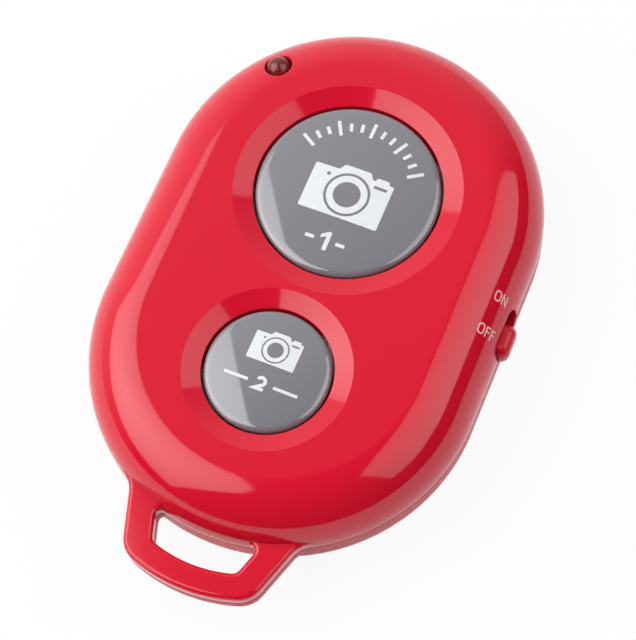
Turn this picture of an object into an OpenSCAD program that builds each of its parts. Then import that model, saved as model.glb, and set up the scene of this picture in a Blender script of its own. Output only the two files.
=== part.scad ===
// Camera shutter remote: two round push buttons, an indicator lamp, a slide switch in one side,
// a lanyard loop at one end and a coin cell behind a lid that turns with a coin.
// Frame: +Z out of the buttons' face, +Y towards the lamp, origin at the centre of the rear face.

/* [Case] */
// Width of the case
body_w = 33; // [32:0.5:38]
// Length of the case without the loop
body_l = 47.1; // [46:0.5:56]
// Thickness of the case
body_t = 10.4; // [10.2:0.1:12]
// Height of the parting line between the covers
seam_z = 5.6; // [5.4:0.1:6.2]
// Radius that rounds the edge of the rear face
rear_edge_r = 4; // [3:0.25:4.5]
// Wall of both covers
wall = 1.2; // [1:0.1:1.3]

/* [Cover joint] */
// Height of the lip that locates the front cover in the rear one
lip_h = 1; // [0.8:0.1:1.2]
// Clearance round the lip
lip_gap = 0.1; // [0.05:0.05:0.15]
// Length of a snap bead on the lip
bead_l = 1.6; // [1:0.2:2]
// Height of a snap bead
bead_h = 0.4; // [0.3:0.05:0.5]
// How far a snap bead stands out of the lip
bead_out = 0.15; // [0.1:0.05:0.2]

/* [Lanyard loop] */
// How far the loop reaches past the case
loop_reach = 4.84; // [4.5:0.1:6]
// Width of the loop across its two end corners
loop_w = 12.2; // [11:0.2:14]
// Thickness of the loop in front of the parting line
loop_front_t = 1.3; // [1:0.1:1.6]
// Thickness of the loop behind the parting line
loop_rear_t = 1.4; // [1:0.1:1.6]
// Width of the band at the loop's end
loop_end_band = 2.15; // [1.8:0.05:2.4]
// Width of the band at the loop's sides
loop_side_band = 2.35; // [2:0.05:2.6]
// Radius of the loop's outer corners
loop_corner_r = 2.3; // [1.8:0.1:2.8]
// Radius of the loop's bowed end
loop_bow_r = 14; // [12:0.5:20]
// Lean of the loop's sides, in degrees
loop_lean = 18; // [10:1:22]
// Radius of the hollows where the loop meets the case
loop_root_r = 2.5; // [1.5:0.1:3]
// Radius of the corners of the loop's hole
hole_corner_r = 0.7; // [0.4:0.1:1]

/* [Buttons] */
// Diameter of the large button
large_d = 15.6; // [14.6:0.2:16]
// Diameter of the small button
small_d = 10.5; // [9.5:0.2:11]
// Place of the large button's centre along the case
large_y = 7.05; // [6.5:0.05:7.6]
// Gap round each button
button_gap = 0.2; // [0.15:0.05:0.3]
// Depth of the sloping ring round each button
dish_depth = 0.55; // [0.4:0.05:0.7]
// Width of the sloping ring round the large button
large_dish_w = 1.65; // [1.2:0.05:1.8]
// Width of the sloping ring round the small button
small_dish_w = 1.55; // [1.2:0.05:1.8]
// Width of the face between the two sloping rings
dish_land = 0.45; // [0.3:0.05:1]
// Depth of a button's upright side below the face
button_drop = 0.85; // [0.7:0.05:1]
// Radius of a button's rim
button_edge_r = 0.5; // [0.3:0.05:0.6]
// Height of the large button's crown above its rim
large_crown = 0.35; // [0.1:0.05:0.4]
// Height of the small button's crown above its rim
small_crown = 0.25; // [0.1:0.05:0.4]
// Thickness of a button's top below the crown
button_top = 0.8; // [0.6:0.1:1]
// Thickness of a button's skirt
button_wall = 1; // [0.8:0.1:1.2]
// Travel of a button
button_travel = 0.3; // [0.2:0.05:0.35]
// How far a button's flange stands out of its skirt
flange_out = 0.9; // [0.7:0.05:1]
// Thickness of the flange
flange_t = 0.7; // [0.5:0.05:0.8]
// Gap between the flange and the guide ring that holds it back
flange_gap = 0.1; // [0.05:0.05:0.15]
// Thickness of the guide ring round each button hole
guide_t = 1; // [0.9:0.1:1.2]
// Width of the rib that stops a button turning
key_w = 0.8; // [0.6:0.1:1]
// Clearance of the rib in the flange's notch
key_gap = 0.2; // [0.15:0.05:0.3]
// Diameter of the stem that presses the switch
stem_d = 2.8; // [2:0.2:3]

/* [Indicator lamp] */
// Diameter of the lamp's lens
lamp_d = 2; // [1.8:0.1:2.2]
// Gap round the lens
lamp_gap = 0.18; // [0.1:0.02:0.2]
// How far the lamp's middle lies in from the case's edge
lamp_inset = 3.04; // [2.94:0.02:3.6]
// Direction of the lamp from the centre of the case's end, in degrees from the width
lamp_angle = 41.4; // [36:0.2:48]
// Depth of the lens's tip below the face
lamp_drop = 0.4; // [0.2:0.05:0.6]
// Length of the lens with its flange
lamp_l = 2.7; // [2.4:0.1:3]
// Diameter of the flange
lamp_flange_d = 2.5; // [2.3:0.1:2.7]
// Thickness of the flange
lamp_flange_t = 0.3; // [0.2:0.05:0.4]
// Diameter of a leg
leg_d = 0.45; // [0.4:0.05:0.5]
// Distance between the legs
leg_pitch = 1.3; // [1.1:0.1:1.6]

/* [Power switch] */
// Length of the knob along the case
knob_l = 3; // [2.8:0.1:3.4]
// Height of the knob
knob_h = 2.4; // [2:0.1:2.6]
// How far the knob stands out of the side
knob_out = 0.7; // [0.5:0.1:1]
// Radius of the knob's corners
knob_corner_r = 0.9; // [0.4:0.1:1]
// Travel of the knob from OFF to ON
knob_travel = 1.3; // [1.2:0.1:1.6]
// Place of the middle of the travel along the case
switch_y = 1; // [0.4:0.05:1.5]
// Gap between the knob and the slot's ends at its stops
slot_end_gap = 0.1; // [0.1:0.05:0.2]
// Gap above and below the knob
slot_side_gap = 0.2; // [0.15:0.05:0.3]
// Thickness of the plate that keeps the knob in the case
keeper_t = 0.3; // [0.25:0.05:0.4]
// How far that plate reaches past the knob's ends
keeper_out = 1.9; // [1.7:0.1:2.2]
// Length of the switch on the board
slide_l = 6.6; // [6.2:0.1:7]
// Depth of the switch on the board
slide_w = 2.4; // [2.2:0.1:2.6]
// Height of the switch on the board
slide_h = 1.4; // [1.3:0.05:1.5]
// Sheet of the switch's case
slide_sheet = 0.2; // [0.15:0.05:0.2]
// Length of the slider's actuator along the case
actuator_l = 1.4; // [1.2:0.1:1.6]
// Height of the slider's actuator
actuator_h = 0.6; // [0.5:0.05:0.7]
// How far the actuator stands out of the switch
actuator_out = 1.1; // [1:0.1:1.3]
// Clearance round the slider and its actuator
slide_gap = 0.06; // [0.05:0.01:0.08]

/* [Circuit board] */
// Thickness of the board
board_t = 0.8; // [0.6:0.1:1]
// Gap between the board's edge and the covers
board_gap = 0.3; // [0.25:0.05:0.5]
// Space between the cell and the board, where the negative contact springs
contact_space = 0.5; // [0.4:0.05:0.6]
// Diameter of the board screws' shanks
screw_d = 1.2; // [1:0.1:1.4]
// Length of the shanks
screw_l = 3.4; // [3:0.1:3.8]
// Diameter of the screw heads
screw_head_d = 2.2; // [2:0.1:2.4]
// Thickness of the screw heads
screw_head_t = 0.6; // [0.5:0.05:0.7]
// Clearance of a shank in the board, and half of it in the front cover's boss
screw_gap = 0.1; // [0.06:0.02:0.16]
// How far the screw at the lamp's end lies in from the case's edge
screw_inset = 3.85; // [3.4:0.05:4.1]
// Direction of that screw from the centre of the case's end, in degrees from the width
screw_angle = 42.6; // [38:0.2:48]
// Wall of the bosses that the board is screwed to
boss_wall = 1; // [0.8:0.1:1.1]

/* [Tact switches] */
// Side of a tact switch
tact_w = 4.5; // [4:0.1:5]
// Height of its moulded base
tact_base_h = 1.1; // [1:0.05:1.2]
// Depth of the pocket for the snap dome
tact_pocket = 0.6; // [0.5:0.05:0.7]
// Sheet of its cover
tact_sheet = 0.2; // [0.15:0.05:0.25]
// Diameter of its plunger
plunger_d = 1.9; // [1.6:0.1:2.2]
// How far the plunger stands out of the cover
plunger_out = 0.7; // [0.5:0.05:0.8]
// Thickness of the plunger's collar, under the cover
plunger_collar_t = 0.18; // [0.15:0.01:0.2]
// Diameter of the snap dome
dome_d = 3.4; // [3:0.1:3.6]
// Sheet of the snap dome
dome_t = 0.08; // [0.06:0.01:0.1]

/* [Coin cell] */
// Diameter of the cell
cell_d = 20; // [19.6:0.1:20.2]
// Thickness of the cell
cell_t = 3.2; // [2.5:0.1:3.4]
// Sheet of its can
can_t = 0.25; // [0.2:0.05:0.3]
// Thickness of its sealing gasket
gasket_t = 0.7; // [0.5:0.05:0.8]
// Depth of the can's edge below the cell's top
can_drop = 0.4; // [0.3:0.05:0.5]
// Clearance between the cell's own round pieces
cell_fit = 0.02; // [0.01:0.01:0.04]

/* [Battery lid] */
// How far the lid's disc reaches past its collar
lid_lip = 0.8; // [0.7:0.05:1]
// Thickness of the lid's disc
lid_t = 0.8; // [0.7:0.05:0.9]
// How far the lid lies inside the rear face
lid_recess = 0.1; // [0.05:0.05:0.15]
// Clearance round the lid and its bayonet
lid_gap = 0.15; // [0.12:0.01:0.18]
// Place of the lid's centre along the case
lid_y = 2; // [1:0.25:3]
// Thickness of the ledge that the bayonet grips
ledge_t = 0.7; // [0.6:0.05:0.8]
// Thickness of the lid's collar
collar_t = 0.45; // [0.4:0.05:0.5]
// Thickness of a bayonet tab
tab_t = 0.7; // [0.6:0.05:0.8]
// Number of bayonet tabs
tab_count = 3; // [2:1:4]
// Angle that a tab covers, in degrees
tab_angle = 24; // [18:1:28]
// Turn from locked to open, in degrees
lid_turn = 40; // [34:1:46]
// Length of the coin slot
coin_l = 10; // [8:0.5:12]
// Width of the coin slot
coin_w = 1.8; // [1.5:0.1:2.2]
// Depth of the coin slot
coin_depth = 0.35; // [0.25:0.05:0.4]

/* [Contacts and chips] */
// Sheet of the contacts
contact_t = 0.15; // [0.12:0.01:0.2]
// Width of the positive contact
positive_w = 4; // [3:0.25:5]
// How far the positive contact's foot runs along the board
positive_foot = 2.4; // [1.8:0.1:2.6]
// Width of the negative contact
negative_w = 2.4; // [2:0.1:3]
// Length of the negative contact
negative_l = 8; // [6:0.5:9]
// Side of the radio chip
radio_w = 4; // [3.5:0.1:4.4]
// Height of the radio chip
radio_h = 0.8; // [0.6:0.05:0.9]
// Length of the memory chip
memory_l = 3.2; // [2.8:0.1:3.4]
// Width of the memory chip
memory_w = 2.6; // [2.2:0.1:2.8]
// Height of the memory chip
memory_h = 0.7; // [0.6:0.05:0.8]
// Length of the crystal
crystal_l = 3.2; // [2.8:0.1:3.4]
// Width of the crystal
crystal_w = 2.5; // [2:0.1:2.7]
// Height of the crystal
crystal_h = 0.65; // [0.5:0.05:0.8]
// Length of a chip capacitor or resistor
smd_l = 1.6; // [1.4:0.1:1.8]
// Width of a chip capacitor or resistor
smd_w = 0.8; // [0.7:0.05:0.9]
// Height of a chip capacitor
capacitor_h = 0.7; // [0.5:0.05:0.8]
// Height of a chip resistor
resistor_h = 0.45; // [0.35:0.05:0.55]
// Width of the printed antenna's track
track_w = 0.5; // [0.4:0.05:0.6]
// Thickness of the printed antenna's track
track_t = 0.05; // [0.04:0.01:0.07]
// Number of bends in the antenna
track_bends = 7; // [5:2:9]

/* [Hidden] */
$fn = 96;

// Facets of the wide circle behind a button crown, and steps in a quarter turn of an outline
crown_fn = 256;
arc_steps = 8;
// How far a cut runs past the face that it opens
overrun = 0.5;
// How far a joined piece runs into the one that carries it
bite = 0.2;

// Case
half_w = body_w / 2;
end_y = (body_l - body_w) / 2;
shoulder_r = body_t - seam_z;
lip_t = wall / 2 - lip_gap;
lip_in = half_w - wall;
bead_y = end_y - bead_l / 2 - lip_gap;
bead_z = seam_z - lip_h / 2;

// Buttons
small_y = large_y - (large_d / 2 + button_gap + large_dish_w) - dish_land
        - (small_dish_w + button_gap + small_d / 2);
rim_z = body_t - button_drop;

// Stack from the rear face to the board
lid_top = lid_recess + lid_t;
cell_top = lid_top + cell_t;
board_z = cell_top + contact_space;
board_top = board_z + board_t;
board_half = half_w - wall - board_gap;

// Tact switches
tact_top = board_top + tact_base_h + tact_sheet;
plunger_top = tact_top + plunger_out;
dome_foot_z = board_top + tact_base_h - tact_pocket;
plunger_foot_z = board_top + tact_base_h - plunger_collar_t - dome_t / 4;

// Flanges hang level with the plungers' tops
flange_top = plunger_top;
flange_foot = flange_top - flange_t;
guide_foot = flange_top + flange_gap;
key_foot = flange_foot - button_travel - key_gap;

// Power switch
actuator_z = board_top + slide_h / 2;
slot_l = knob_l + knob_travel + 2 * slot_end_gap;
slot_h = knob_h + 2 * slot_side_gap;
knob_y = switch_y - knob_travel / 2;
keeper_h = knob_h;
keeper_x = half_w - shoulder_r
         + sqrt(pow(shoulder_r - wall, 2) - pow(actuator_z + keeper_h / 2 - seam_z, 2)) - slide_gap;
slide_front = keeper_x - keeper_t - 2 * slide_gap;
slider_l = 2 * actuator_l - 2 * slide_sheet;

// Lamp
lamp_tip = body_t - lamp_drop;
lamp_foot = lamp_tip - lamp_l;
lamp_hole_r = lamp_d / 2 + lamp_gap;
lamp_seat = lamp_foot + lamp_flange_t + lip_gap;
lamp_place = near_end(lamp_inset, 180 - lamp_angle);

// Battery lid and the ledge in the rear cover
cell_r = cell_d / 2;
collar_in = cell_r + lid_gap;
collar_out = collar_in + collar_t;
lid_r = collar_out + lid_lip;
lid_hole_r = lid_r + lid_gap;
ledge_r = collar_out + lid_gap;
ledge_z = lid_top + lid_gap / 3;
ledge_top = ledge_z + ledge_t;
tab_z = ledge_top + lid_gap / 3;
tab_top = tab_z + tab_t;
ledge_rim_r = lid_hole_r + ledge_t;
notch_spare = 3;

// Board screws: two in shares of the case's half width and half length, and one at the lamp's end
screw_shares = [[-0.68, -0.12], [0.66, -0.38]];
screw_places = concat([for (share = screw_shares) [share[0] * half_w, share[1] * body_l / 2]],
                      [near_end(screw_inset, screw_angle)]);
boss_r = screw_d / 2 + boss_wall;
pilot_r = (screw_d + screw_gap) / 2;

// Chips behind the board, as shares of the board's half width and half length
chip_y_share = -0.66;
memory_x_share = -0.36;
crystal_x_share = 0.35;
capacitor_x_shares = [-0.3, -0.1, 0.1, 0.3];
capacitor_y_share = -0.86;
resistor_angles = [56, 124];
board_l = body_l / 2 - wall - board_gap;

// Lanyard loop. The end bow and the corners touch from inside, and the sides lean inwards.
loop_end_y = -(body_l / 2 + loop_reach);
bow_y = loop_end_y + loop_bow_r;
side_normal = [cos(loop_lean), -sin(loop_lean)];
side_along = [sin(loop_lean), cos(loop_lean)];
corner_x = loop_w / 2 - loop_corner_r;
corner_y = bow_y - sqrt(pow(loop_bow_r - loop_corner_r, 2) - pow(corner_x, 2));
side_reach = side_normal * [corner_x, corner_y] + loop_corner_r;
hole_side = side_reach - loop_side_band;
hole_bow_r = loop_bow_r - loop_end_band;
case_end = [0, -end_y];
root_sink = wall / 30;

// Place at a distance in from the case's edge, in a direction from the centre of the lamp's end
function near_end(inset, angle) = [0, end_y] + (half_w - inset) * [cos(angle), sin(angle)];

// Centre of a circle that touches the side line at distance `reach` and a circle about `centre`
function touching(centre, reach, distance) =
    let (across = reach - side_normal * centre)
    centre + across * side_normal - sqrt(distance * distance - across * across) * side_along;

function arc(centre, r, from, to) =
    let (steps = max(2, ceil(abs(to - from) / 90 * arc_steps)))
    [for (i = [0:steps]) let (a = from + (to - from) * i / steps) centre + r * [cos(a), sin(a)]];

function mirrored(points) = [for (i = [len(points) - 1:-1:0]) [-points[i][0], points[i][1]]];

function direction(v) = atan2(v[1], v[0]);

// Right half of the loop's outline, from the case down to the middle of the bow
root_centre = touching(case_end, side_reach + loop_root_r, half_w - root_sink + loop_root_r);
corner = [corner_x, corner_y];
loop_half = concat(
    [root_centre + (case_end - root_centre) * (loop_root_r + wall / 2) / norm(case_end - root_centre)],
    arc(root_centre, loop_root_r, direction(case_end - root_centre), 180 - loop_lean),
    arc(corner, loop_corner_r, -loop_lean, direction(corner - [0, bow_y])),
    arc([0, bow_y], loop_bow_r, direction(corner - [0, bow_y]), -90));

// Right half of the hole's outline: it starts inside the case, whose end is the hole's upper side
hole_corner = touching([0, bow_y], hole_side - hole_corner_r, hole_bow_r - hole_corner_r);
hole_half = concat(
    [hole_corner + hole_corner_r * side_normal + (loop_reach - loop_end_band) * side_along],
    arc(hole_corner, hole_corner_r, -loop_lean, direction(hole_corner - [0, bow_y])),
    arc([0, bow_y], hole_bow_r, direction(hole_corner - [0, bow_y]), -90));

// Half section with a rounded upper outer corner, from the axis outwards
module rounded_half(r, z_low, z_high, edge_r) {
    straight = z_high - edge_r - z_low;
    translate([0, z_low]) square([r - edge_r, z_high - z_low]);
    translate([r - edge_r, z_high - edge_r]) intersection() {
        circle(edge_r);
        square(edge_r);
    }
    if (straight > cell_fit) translate([r - edge_r, z_low]) square([edge_r, straight]);
}

// Carries a half section round the case's stadium: half turns at the ends and a straight middle
module round_case() {
    for (turn = [0, 180])
        rotate([0, 0, turn]) translate([0, end_y, 0]) rotate_extrude(angle = 180) children();
    translate([0, end_y, 0]) rotate([90, 0, 0]) linear_extrude(2 * end_y)
        for (side = [0, 1]) mirror([side, 0]) children();
}

// Ring, or a stretch of one
module ring(r_in, r_out, z_low, z_high, from = 0, sweep = 360) {
    rotate([0, 0, from]) rotate_extrude(angle = sweep)
        translate([r_in, z_low]) square([r_out - r_in, z_high - z_low]);
}

module loop_slab(z_low, z_high) {
    translate([0, 0, z_low]) linear_extrude(z_high - z_low) difference() {
        polygon(concat(loop_half, mirrored(loop_half)));
        polygon(concat(hole_half, mirrored(hole_half)));
    }
}

// Bar along X with rounded corners, centred on the actuator's height
module side_bar(x_low, x_high, y_mid, l, h, corner_r) {
    a = l / 2 - corner_r;
    b = h / 2 - corner_r;
    outline = concat(arc([a, b], corner_r, 0, 90), arc([-a, b], corner_r, 90, 180),
                     arc([-a, -b], corner_r, 180, 270), arc([a, -b], corner_r, 270, 360));
    translate([x_low, y_mid, actuator_z]) rotate([90, 0, 90])
        linear_extrude(x_high - x_low) polygon(outline);
}

module switch_slot() {
    side_bar(keeper_x - overrun, half_w + overrun, switch_y, slot_l, slot_h,
             knob_corner_r + slot_side_gap);
}

// Box by its middle in X and Y, standing on a height
module block(x, y, z_low, w, l, h) {
    translate([x - w / 2, y - l / 2, z_low]) cube([w, l, h]);
}

module at_screws() {
    for (place = screw_places) translate([place[0], place[1], 0]) children();
}

module at_lamp() {
    translate([lamp_place[0], lamp_place[1], 0]) children();
}

// Ring round a button that slopes from the face down to the edge of the button's hole
module dish(y, d, dish_w) {
    hole_r = d / 2 + button_gap;
    dish_r = hole_r + dish_w;
    dish_z = body_t - dish_depth;
    translate([0, y, 0]) rotate_extrude() polygon([
        [hole_r - button_gap, dish_z], [hole_r, dish_z], [dish_r, body_t], [dish_r, body_t + overrun],
        [hole_r - button_gap, body_t + overrun]]);
}

module button_guide(y, d) {
    hole_r = d / 2 + button_gap;
    guide_r = hole_r + guide_t;
    translate([0, y, 0]) {
        ring(hole_r, guide_r, guide_foot, body_t - wall + bite);
        for (side = [-1, 1]) {
            key_in = d / 2 + flange_out - key_w;
            block(side * (key_in + guide_r) / 2, 0, key_foot, guide_r - key_in, key_w,
                  guide_foot - key_foot + bite);
        }
    }
}

module button_hole(y, d) {
    translate([0, y, guide_foot - overrun])
        cylinder(r = d / 2 + button_gap, h = body_t - guide_foot + 2 * overrun);
}

module front_cover() color("crimson") difference() {
    union() {
        round_case() {
            difference() {
                rounded_half(half_w, seam_z, body_t, shoulder_r);
                rounded_half(lip_in, seam_z - overrun, body_t - wall, shoulder_r - wall);
            }
            translate([lip_in, seam_z - lip_h]) square([lip_t, lip_h]);
        }
        difference() {
            loop_slab(seam_z, seam_z + loop_front_t);
            round_case() rounded_half(lip_in + bite, seam_z - overrun, body_t - wall, shoulder_r - wall);
        }
        for (side = [-1, 1], y = [-bead_y, bead_y])
            block(side * (lip_in + lip_t / 2 + bead_out / 2), y, bead_z - bead_h / 2,
                  lip_t + bead_out, bead_l, bead_h);
        button_guide(large_y, large_d);
        button_guide(small_y, small_d);
        intersection() {
            union() {
                at_lamp() translate([0, 0, lamp_seat])
                    cylinder(r = lamp_hole_r + boss_wall / 2, h = body_t - lamp_seat);
                at_screws() translate([0, 0, board_top]) cylinder(r = boss_r, h = body_t - board_top);
            }
            round_case()
                rounded_half(half_w - wall / 2, board_top, body_t - wall / 2, shoulder_r - wall / 2);
        }
    }
    dish(large_y, large_d, large_dish_w);
    dish(small_y, small_d, small_dish_w);
    button_hole(large_y, large_d);
    button_hole(small_y, small_d);
    at_lamp() translate([0, 0, lamp_foot - overrun]) {
        cylinder(r = lamp_hole_r, h = overrun + lamp_l + lamp_drop + overrun);
        cylinder(r = lamp_flange_d / 2 + lip_gap, h = overrun + lamp_seat - lamp_foot);
    }
    at_screws() translate([0, 0, board_top - overrun])
        cylinder(r = pilot_r, h = overrun + screw_l - board_t + bite);
    switch_slot();
    block(lip_in, switch_y, seam_z - lip_h - overrun, 2 * wall, slot_l + 4 * slot_side_gap + 2 * keeper_out,
          lip_h + overrun);
}

module rear_cover() color("crimson") difference() {
    union() {
        translate([0, 0, seam_z]) mirror([0, 0, 1]) round_case() difference() {
            rounded_half(half_w, 0, seam_z, rear_edge_r);
            rounded_half(lip_in, -overrun, seam_z - wall, rear_edge_r - wall);
            translate([lip_in - overrun, -overrun]) square([overrun + wall / 2, overrun + lip_h + lip_gap]);
        }
        difference() {
            loop_slab(seam_z - loop_rear_t, seam_z);
            translate([0, 0, -overrun]) round_case()
                square([half_w - wall / 2 + lip_gap, seam_z + 2 * overrun]);
        }
        translate([0, lid_y, 0]) {
            ring(lid_hole_r - overrun, ledge_rim_r, wall - bite, ledge_top);
            for (i = [0:tab_count - 1])
                ring(ledge_r + lid_gap, lid_hole_r, ledge_top - bite, tab_top,
                     i * 360 / tab_count + tab_angle / 2 + notch_spare / 2, notch_spare);
        }
    }
    translate([0, lid_y, -overrun]) {
        cylinder(r = lid_hole_r, h = overrun + ledge_z);
        cylinder(r = ledge_r, h = overrun + ledge_top + overrun);
    }
    for (i = [0:tab_count - 1]) translate([0, lid_y, 0])
        ring(ledge_r - bite, lid_hole_r + lid_gap, lid_recess + lid_t / 2, ledge_top + overrun,
             i * 360 / tab_count - lid_turn - tab_angle / 2 - notch_spare / 2, tab_angle + notch_spare);
    for (side = [-1, 1], y = [-bead_y, bead_y])
        block(side * (half_w - wall / 2 - bead_out), y, bead_z - bead_h / 2 - lip_gap,
              4 * bead_out, bead_l + 2 * lip_gap, bead_h + 2 * lip_gap);
    switch_slot();
}

module battery_lid() color("crimson") translate([0, lid_y, 0]) {
    difference() {
        translate([0, 0, lid_recess]) cylinder(r = lid_r, h = lid_t);
        block(0, 0, lid_recess - overrun, coin_l, coin_w, overrun + coin_depth);
    }
    ring(collar_in, collar_out, lid_top - bite, tab_top);
    for (i = [0:tab_count - 1])
        ring(collar_out - collar_t / 2, lid_r, tab_z, tab_top,
             i * 360 / tab_count - tab_angle / 2, tab_angle);
}

// Cap with a rounded rim, a slight crown, a skirt, a flange that holds it in, and a stem
module button_cap(y, d, crown) translate([0, y, 0]) {
    r = d / 2;
    crown_r = r - button_edge_r;
    rim_top = rim_z + button_edge_r;
    dome_r = (crown_r * crown_r + crown * crown) / (2 * crown);
    roof = rim_top - button_top;
    difference() {
        union() {
            rotate_extrude() {
                translate([0, flange_foot]) square([r, rim_z - flange_foot]);
                translate([crown_r, rim_z]) intersection() {
                    circle(button_edge_r);
                    square(button_edge_r);
                }
                translate([0, rim_z]) square([crown_r, button_edge_r]);
                intersection() {
                    translate([0, rim_top + crown - dome_r]) circle(dome_r, $fn = crown_fn);
                    translate([0, rim_z]) square([crown_r, button_edge_r + 2 * crown]);
                }
            }
            translate([0, 0, flange_foot]) cylinder(r = r + flange_out, h = flange_t);
        }
        translate([0, 0, flange_foot - overrun])
            cylinder(r = r - button_wall, h = roof - flange_foot + overrun);
        for (side = [-1, 1]) {
            notch_in = r + flange_out - key_w - key_gap;
            block(side * (notch_in + key_w + overrun / 2), 0, flange_foot - overrun, 2 * key_w + overrun,
                  key_w + 2 * key_gap, flange_t + 2 * overrun);
        }
    }
    translate([0, 0, plunger_top]) cylinder(d = stem_d, h = roof + bite - plunger_top);
}

module large_button() color("gray") button_cap(large_y, large_d, large_crown);

module small_button() color("gray") button_cap(small_y, small_d, small_crown);

module switch_knob() color("crimson") difference() {
    union() {
        side_bar(keeper_x - keeper_t, half_w + knob_out, knob_y, knob_l, knob_h, knob_corner_r);
        block(keeper_x - keeper_t / 2, knob_y, actuator_z - keeper_h / 2, keeper_t,
              knob_l + 2 * keeper_out, keeper_h);
    }
    block(keeper_x - keeper_t, knob_y, actuator_z - actuator_h / 2 - slide_gap,
          2 * (actuator_out + slide_gap), actuator_l + 2 * slide_gap, actuator_h + 2 * slide_gap);
}

module indicator_lens() color("darkred") at_lamp() rotate_extrude() {
    translate([0, lamp_foot]) square([lamp_flange_d / 2, lamp_flange_t]);
    translate([0, lamp_foot]) square([lamp_d / 2, lamp_l - lamp_d / 2]);
    translate([0, lamp_tip - lamp_d / 2]) intersection() {
        circle(d = lamp_d);
        square(lamp_d / 2);
    }
}

module indicator_legs() color("silver") at_lamp() for (side = [-1, 1])
    translate([side * leg_pitch / 2, 0, board_z - leg_d])
        cylinder(d = leg_d, h = lamp_foot - board_z + leg_d);

module circuit_board() color("seagreen") difference() {
    translate([0, 0, board_z]) round_case() square([board_half, board_t]);
    at_screws() translate([0, 0, board_z - overrun])
        cylinder(d = screw_d + 2 * screw_gap, h = board_t + 2 * overrun);
    at_lamp() for (side = [-1, 1]) translate([side * leg_pitch / 2, 0, board_z - overrun])
        cylinder(d = leg_d + screw_gap, h = board_t + 2 * overrun);
    block(board_half + slide_front - keeper_t, switch_y, board_z - overrun,
          2 * (board_half - keeper_t), knob_l + knob_travel + 2 * keeper_out + 4 * slot_end_gap,
          board_t + 2 * overrun);
}

module board_screws() color("silver") at_screws() {
    translate([0, 0, board_z - screw_head_t]) difference() {
        cylinder(d = screw_head_d, h = screw_head_t);
        for (turn = [0, 90]) rotate([0, 0, turn])
            block(0, 0, -overrun, screw_head_d * 0.6, screw_head_t / 2, overrun + screw_head_t / 2);
    }
    translate([0, 0, board_z - bite]) cylinder(d = screw_d, h = screw_l + bite);
}

module tact_base(y) difference() {
    block(0, y, board_top, tact_w, tact_w, tact_base_h);
    translate([0, y, dome_foot_z]) cylinder(d = dome_d + 2 * lip_gap, h = tact_pocket + overrun);
}

// Four gull-wing leads, two on each side
module tact_leads(y) for (sx = [-1, 1], sy = [-1, 1]) {
    lead_w = tact_w / 6;
    block(sx * (tact_w / 2 + lead_w / 2), y + sy * tact_w / 4, board_top, lead_w, lead_w, tact_sheet);
    block(sx * (tact_w / 2 + tact_sheet / 2), y + sy * tact_w / 4, board_top, tact_sheet, lead_w,
          tact_base_h / 2);
}

// Snap dome: a flat crown on a sloping skirt, pressed from sheet
module tact_dome(y) {
    foot_r = dome_d / 2;
    crown_r = foot_r / 2;
    rise = plunger_foot_z - dome_foot_z;
    translate([0, y, dome_foot_z]) rotate_extrude() polygon([
        [0, rise], [crown_r, rise], [foot_r, dome_t], [foot_r, 0], [foot_r - dome_t, 0],
        [crown_r - dome_t / 2, rise - dome_t], [0, rise - dome_t]]);
}

module tact_plunger(y) translate([0, y, plunger_foot_z]) {
    cylinder(d = plunger_d + 3 * tact_sheet, h = plunger_collar_t);
    cylinder(d = plunger_d, h = plunger_top - plunger_foot_z);
}

module tact_cover(y) difference() {
    block(0, y, board_top + tact_base_h, tact_w, tact_w, tact_sheet);
    translate([0, y, board_top]) cylinder(d = plunger_d + 2 * slide_gap, h = tact_top - board_top + overrun);
}

module large_switch_base() color("dimgray") tact_base(large_y);
module large_switch_leads() color("silver") tact_leads(large_y);
module large_switch_dome() color("silver") tact_dome(large_y);
module large_switch_plunger() color("black") tact_plunger(large_y);
module large_switch_cover() color("silver") tact_cover(large_y);
module small_switch_base() color("dimgray") tact_base(small_y);
module small_switch_leads() color("silver") tact_leads(small_y);
module small_switch_dome() color("silver") tact_dome(small_y);
module small_switch_plunger() color("black") tact_plunger(small_y);
module small_switch_cover() color("silver") tact_cover(small_y);

slide_x = slide_front - slide_w / 2;
slide_base_h = actuator_z - actuator_h / 2 - slide_gap - board_top;

module power_switch_base() color("dimgray")
    block(slide_x, switch_y, board_top, slide_w - 2 * slide_sheet - slide_gap,
          slide_l - 2 * slide_sheet - slide_gap, slide_base_h);

module power_switch_case() color("silver") difference() {
    block(slide_x, switch_y, board_top, slide_w, slide_l, slide_h);
    block(slide_x, switch_y, board_top - overrun, slide_w - 2 * slide_sheet, slide_l - 2 * slide_sheet,
          slide_h - slide_sheet + overrun);
    block(slide_front, switch_y, actuator_z - actuator_h / 2 - slide_gap, 4 * slide_sheet,
          actuator_l + knob_travel + 4 * slide_gap, actuator_h + 2 * slide_gap);
}

module power_switch_slider() color("black") {
    slider_w = slide_w - 2 * slide_sheet - 4 * slide_gap;
    block(slide_x, knob_y, actuator_z - actuator_h / 2, slider_w, slider_l, actuator_h);
    translate([slide_x, knob_y - actuator_l / 2, actuator_z - actuator_h / 2])
        cube([slide_w / 2 + actuator_out, actuator_l, actuator_h]);
}

module power_switch_pins() color("silver") for (i = [-1:1])
    block(slide_x - slide_w / 2 - 2 * slide_sheet, switch_y + i * slide_l / 4, board_top,
          4 * slide_sheet, 2 * slide_sheet, slide_sheet);

// The can is a cup with a crimped edge that holds the gasket down
module cell_can() color("silver") translate([0, lid_y, lid_top]) {
    cylinder(r = cell_r, h = can_t);
    ring(cell_r - can_t, cell_r, can_t / 2, cell_t - can_drop);
}

module cell_gasket() color("dimgray") translate([0, lid_y, lid_top])
    ring(cell_r - can_t - gasket_t, cell_r - can_t - cell_fit, can_t, cell_t - can_drop / 2);

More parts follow.
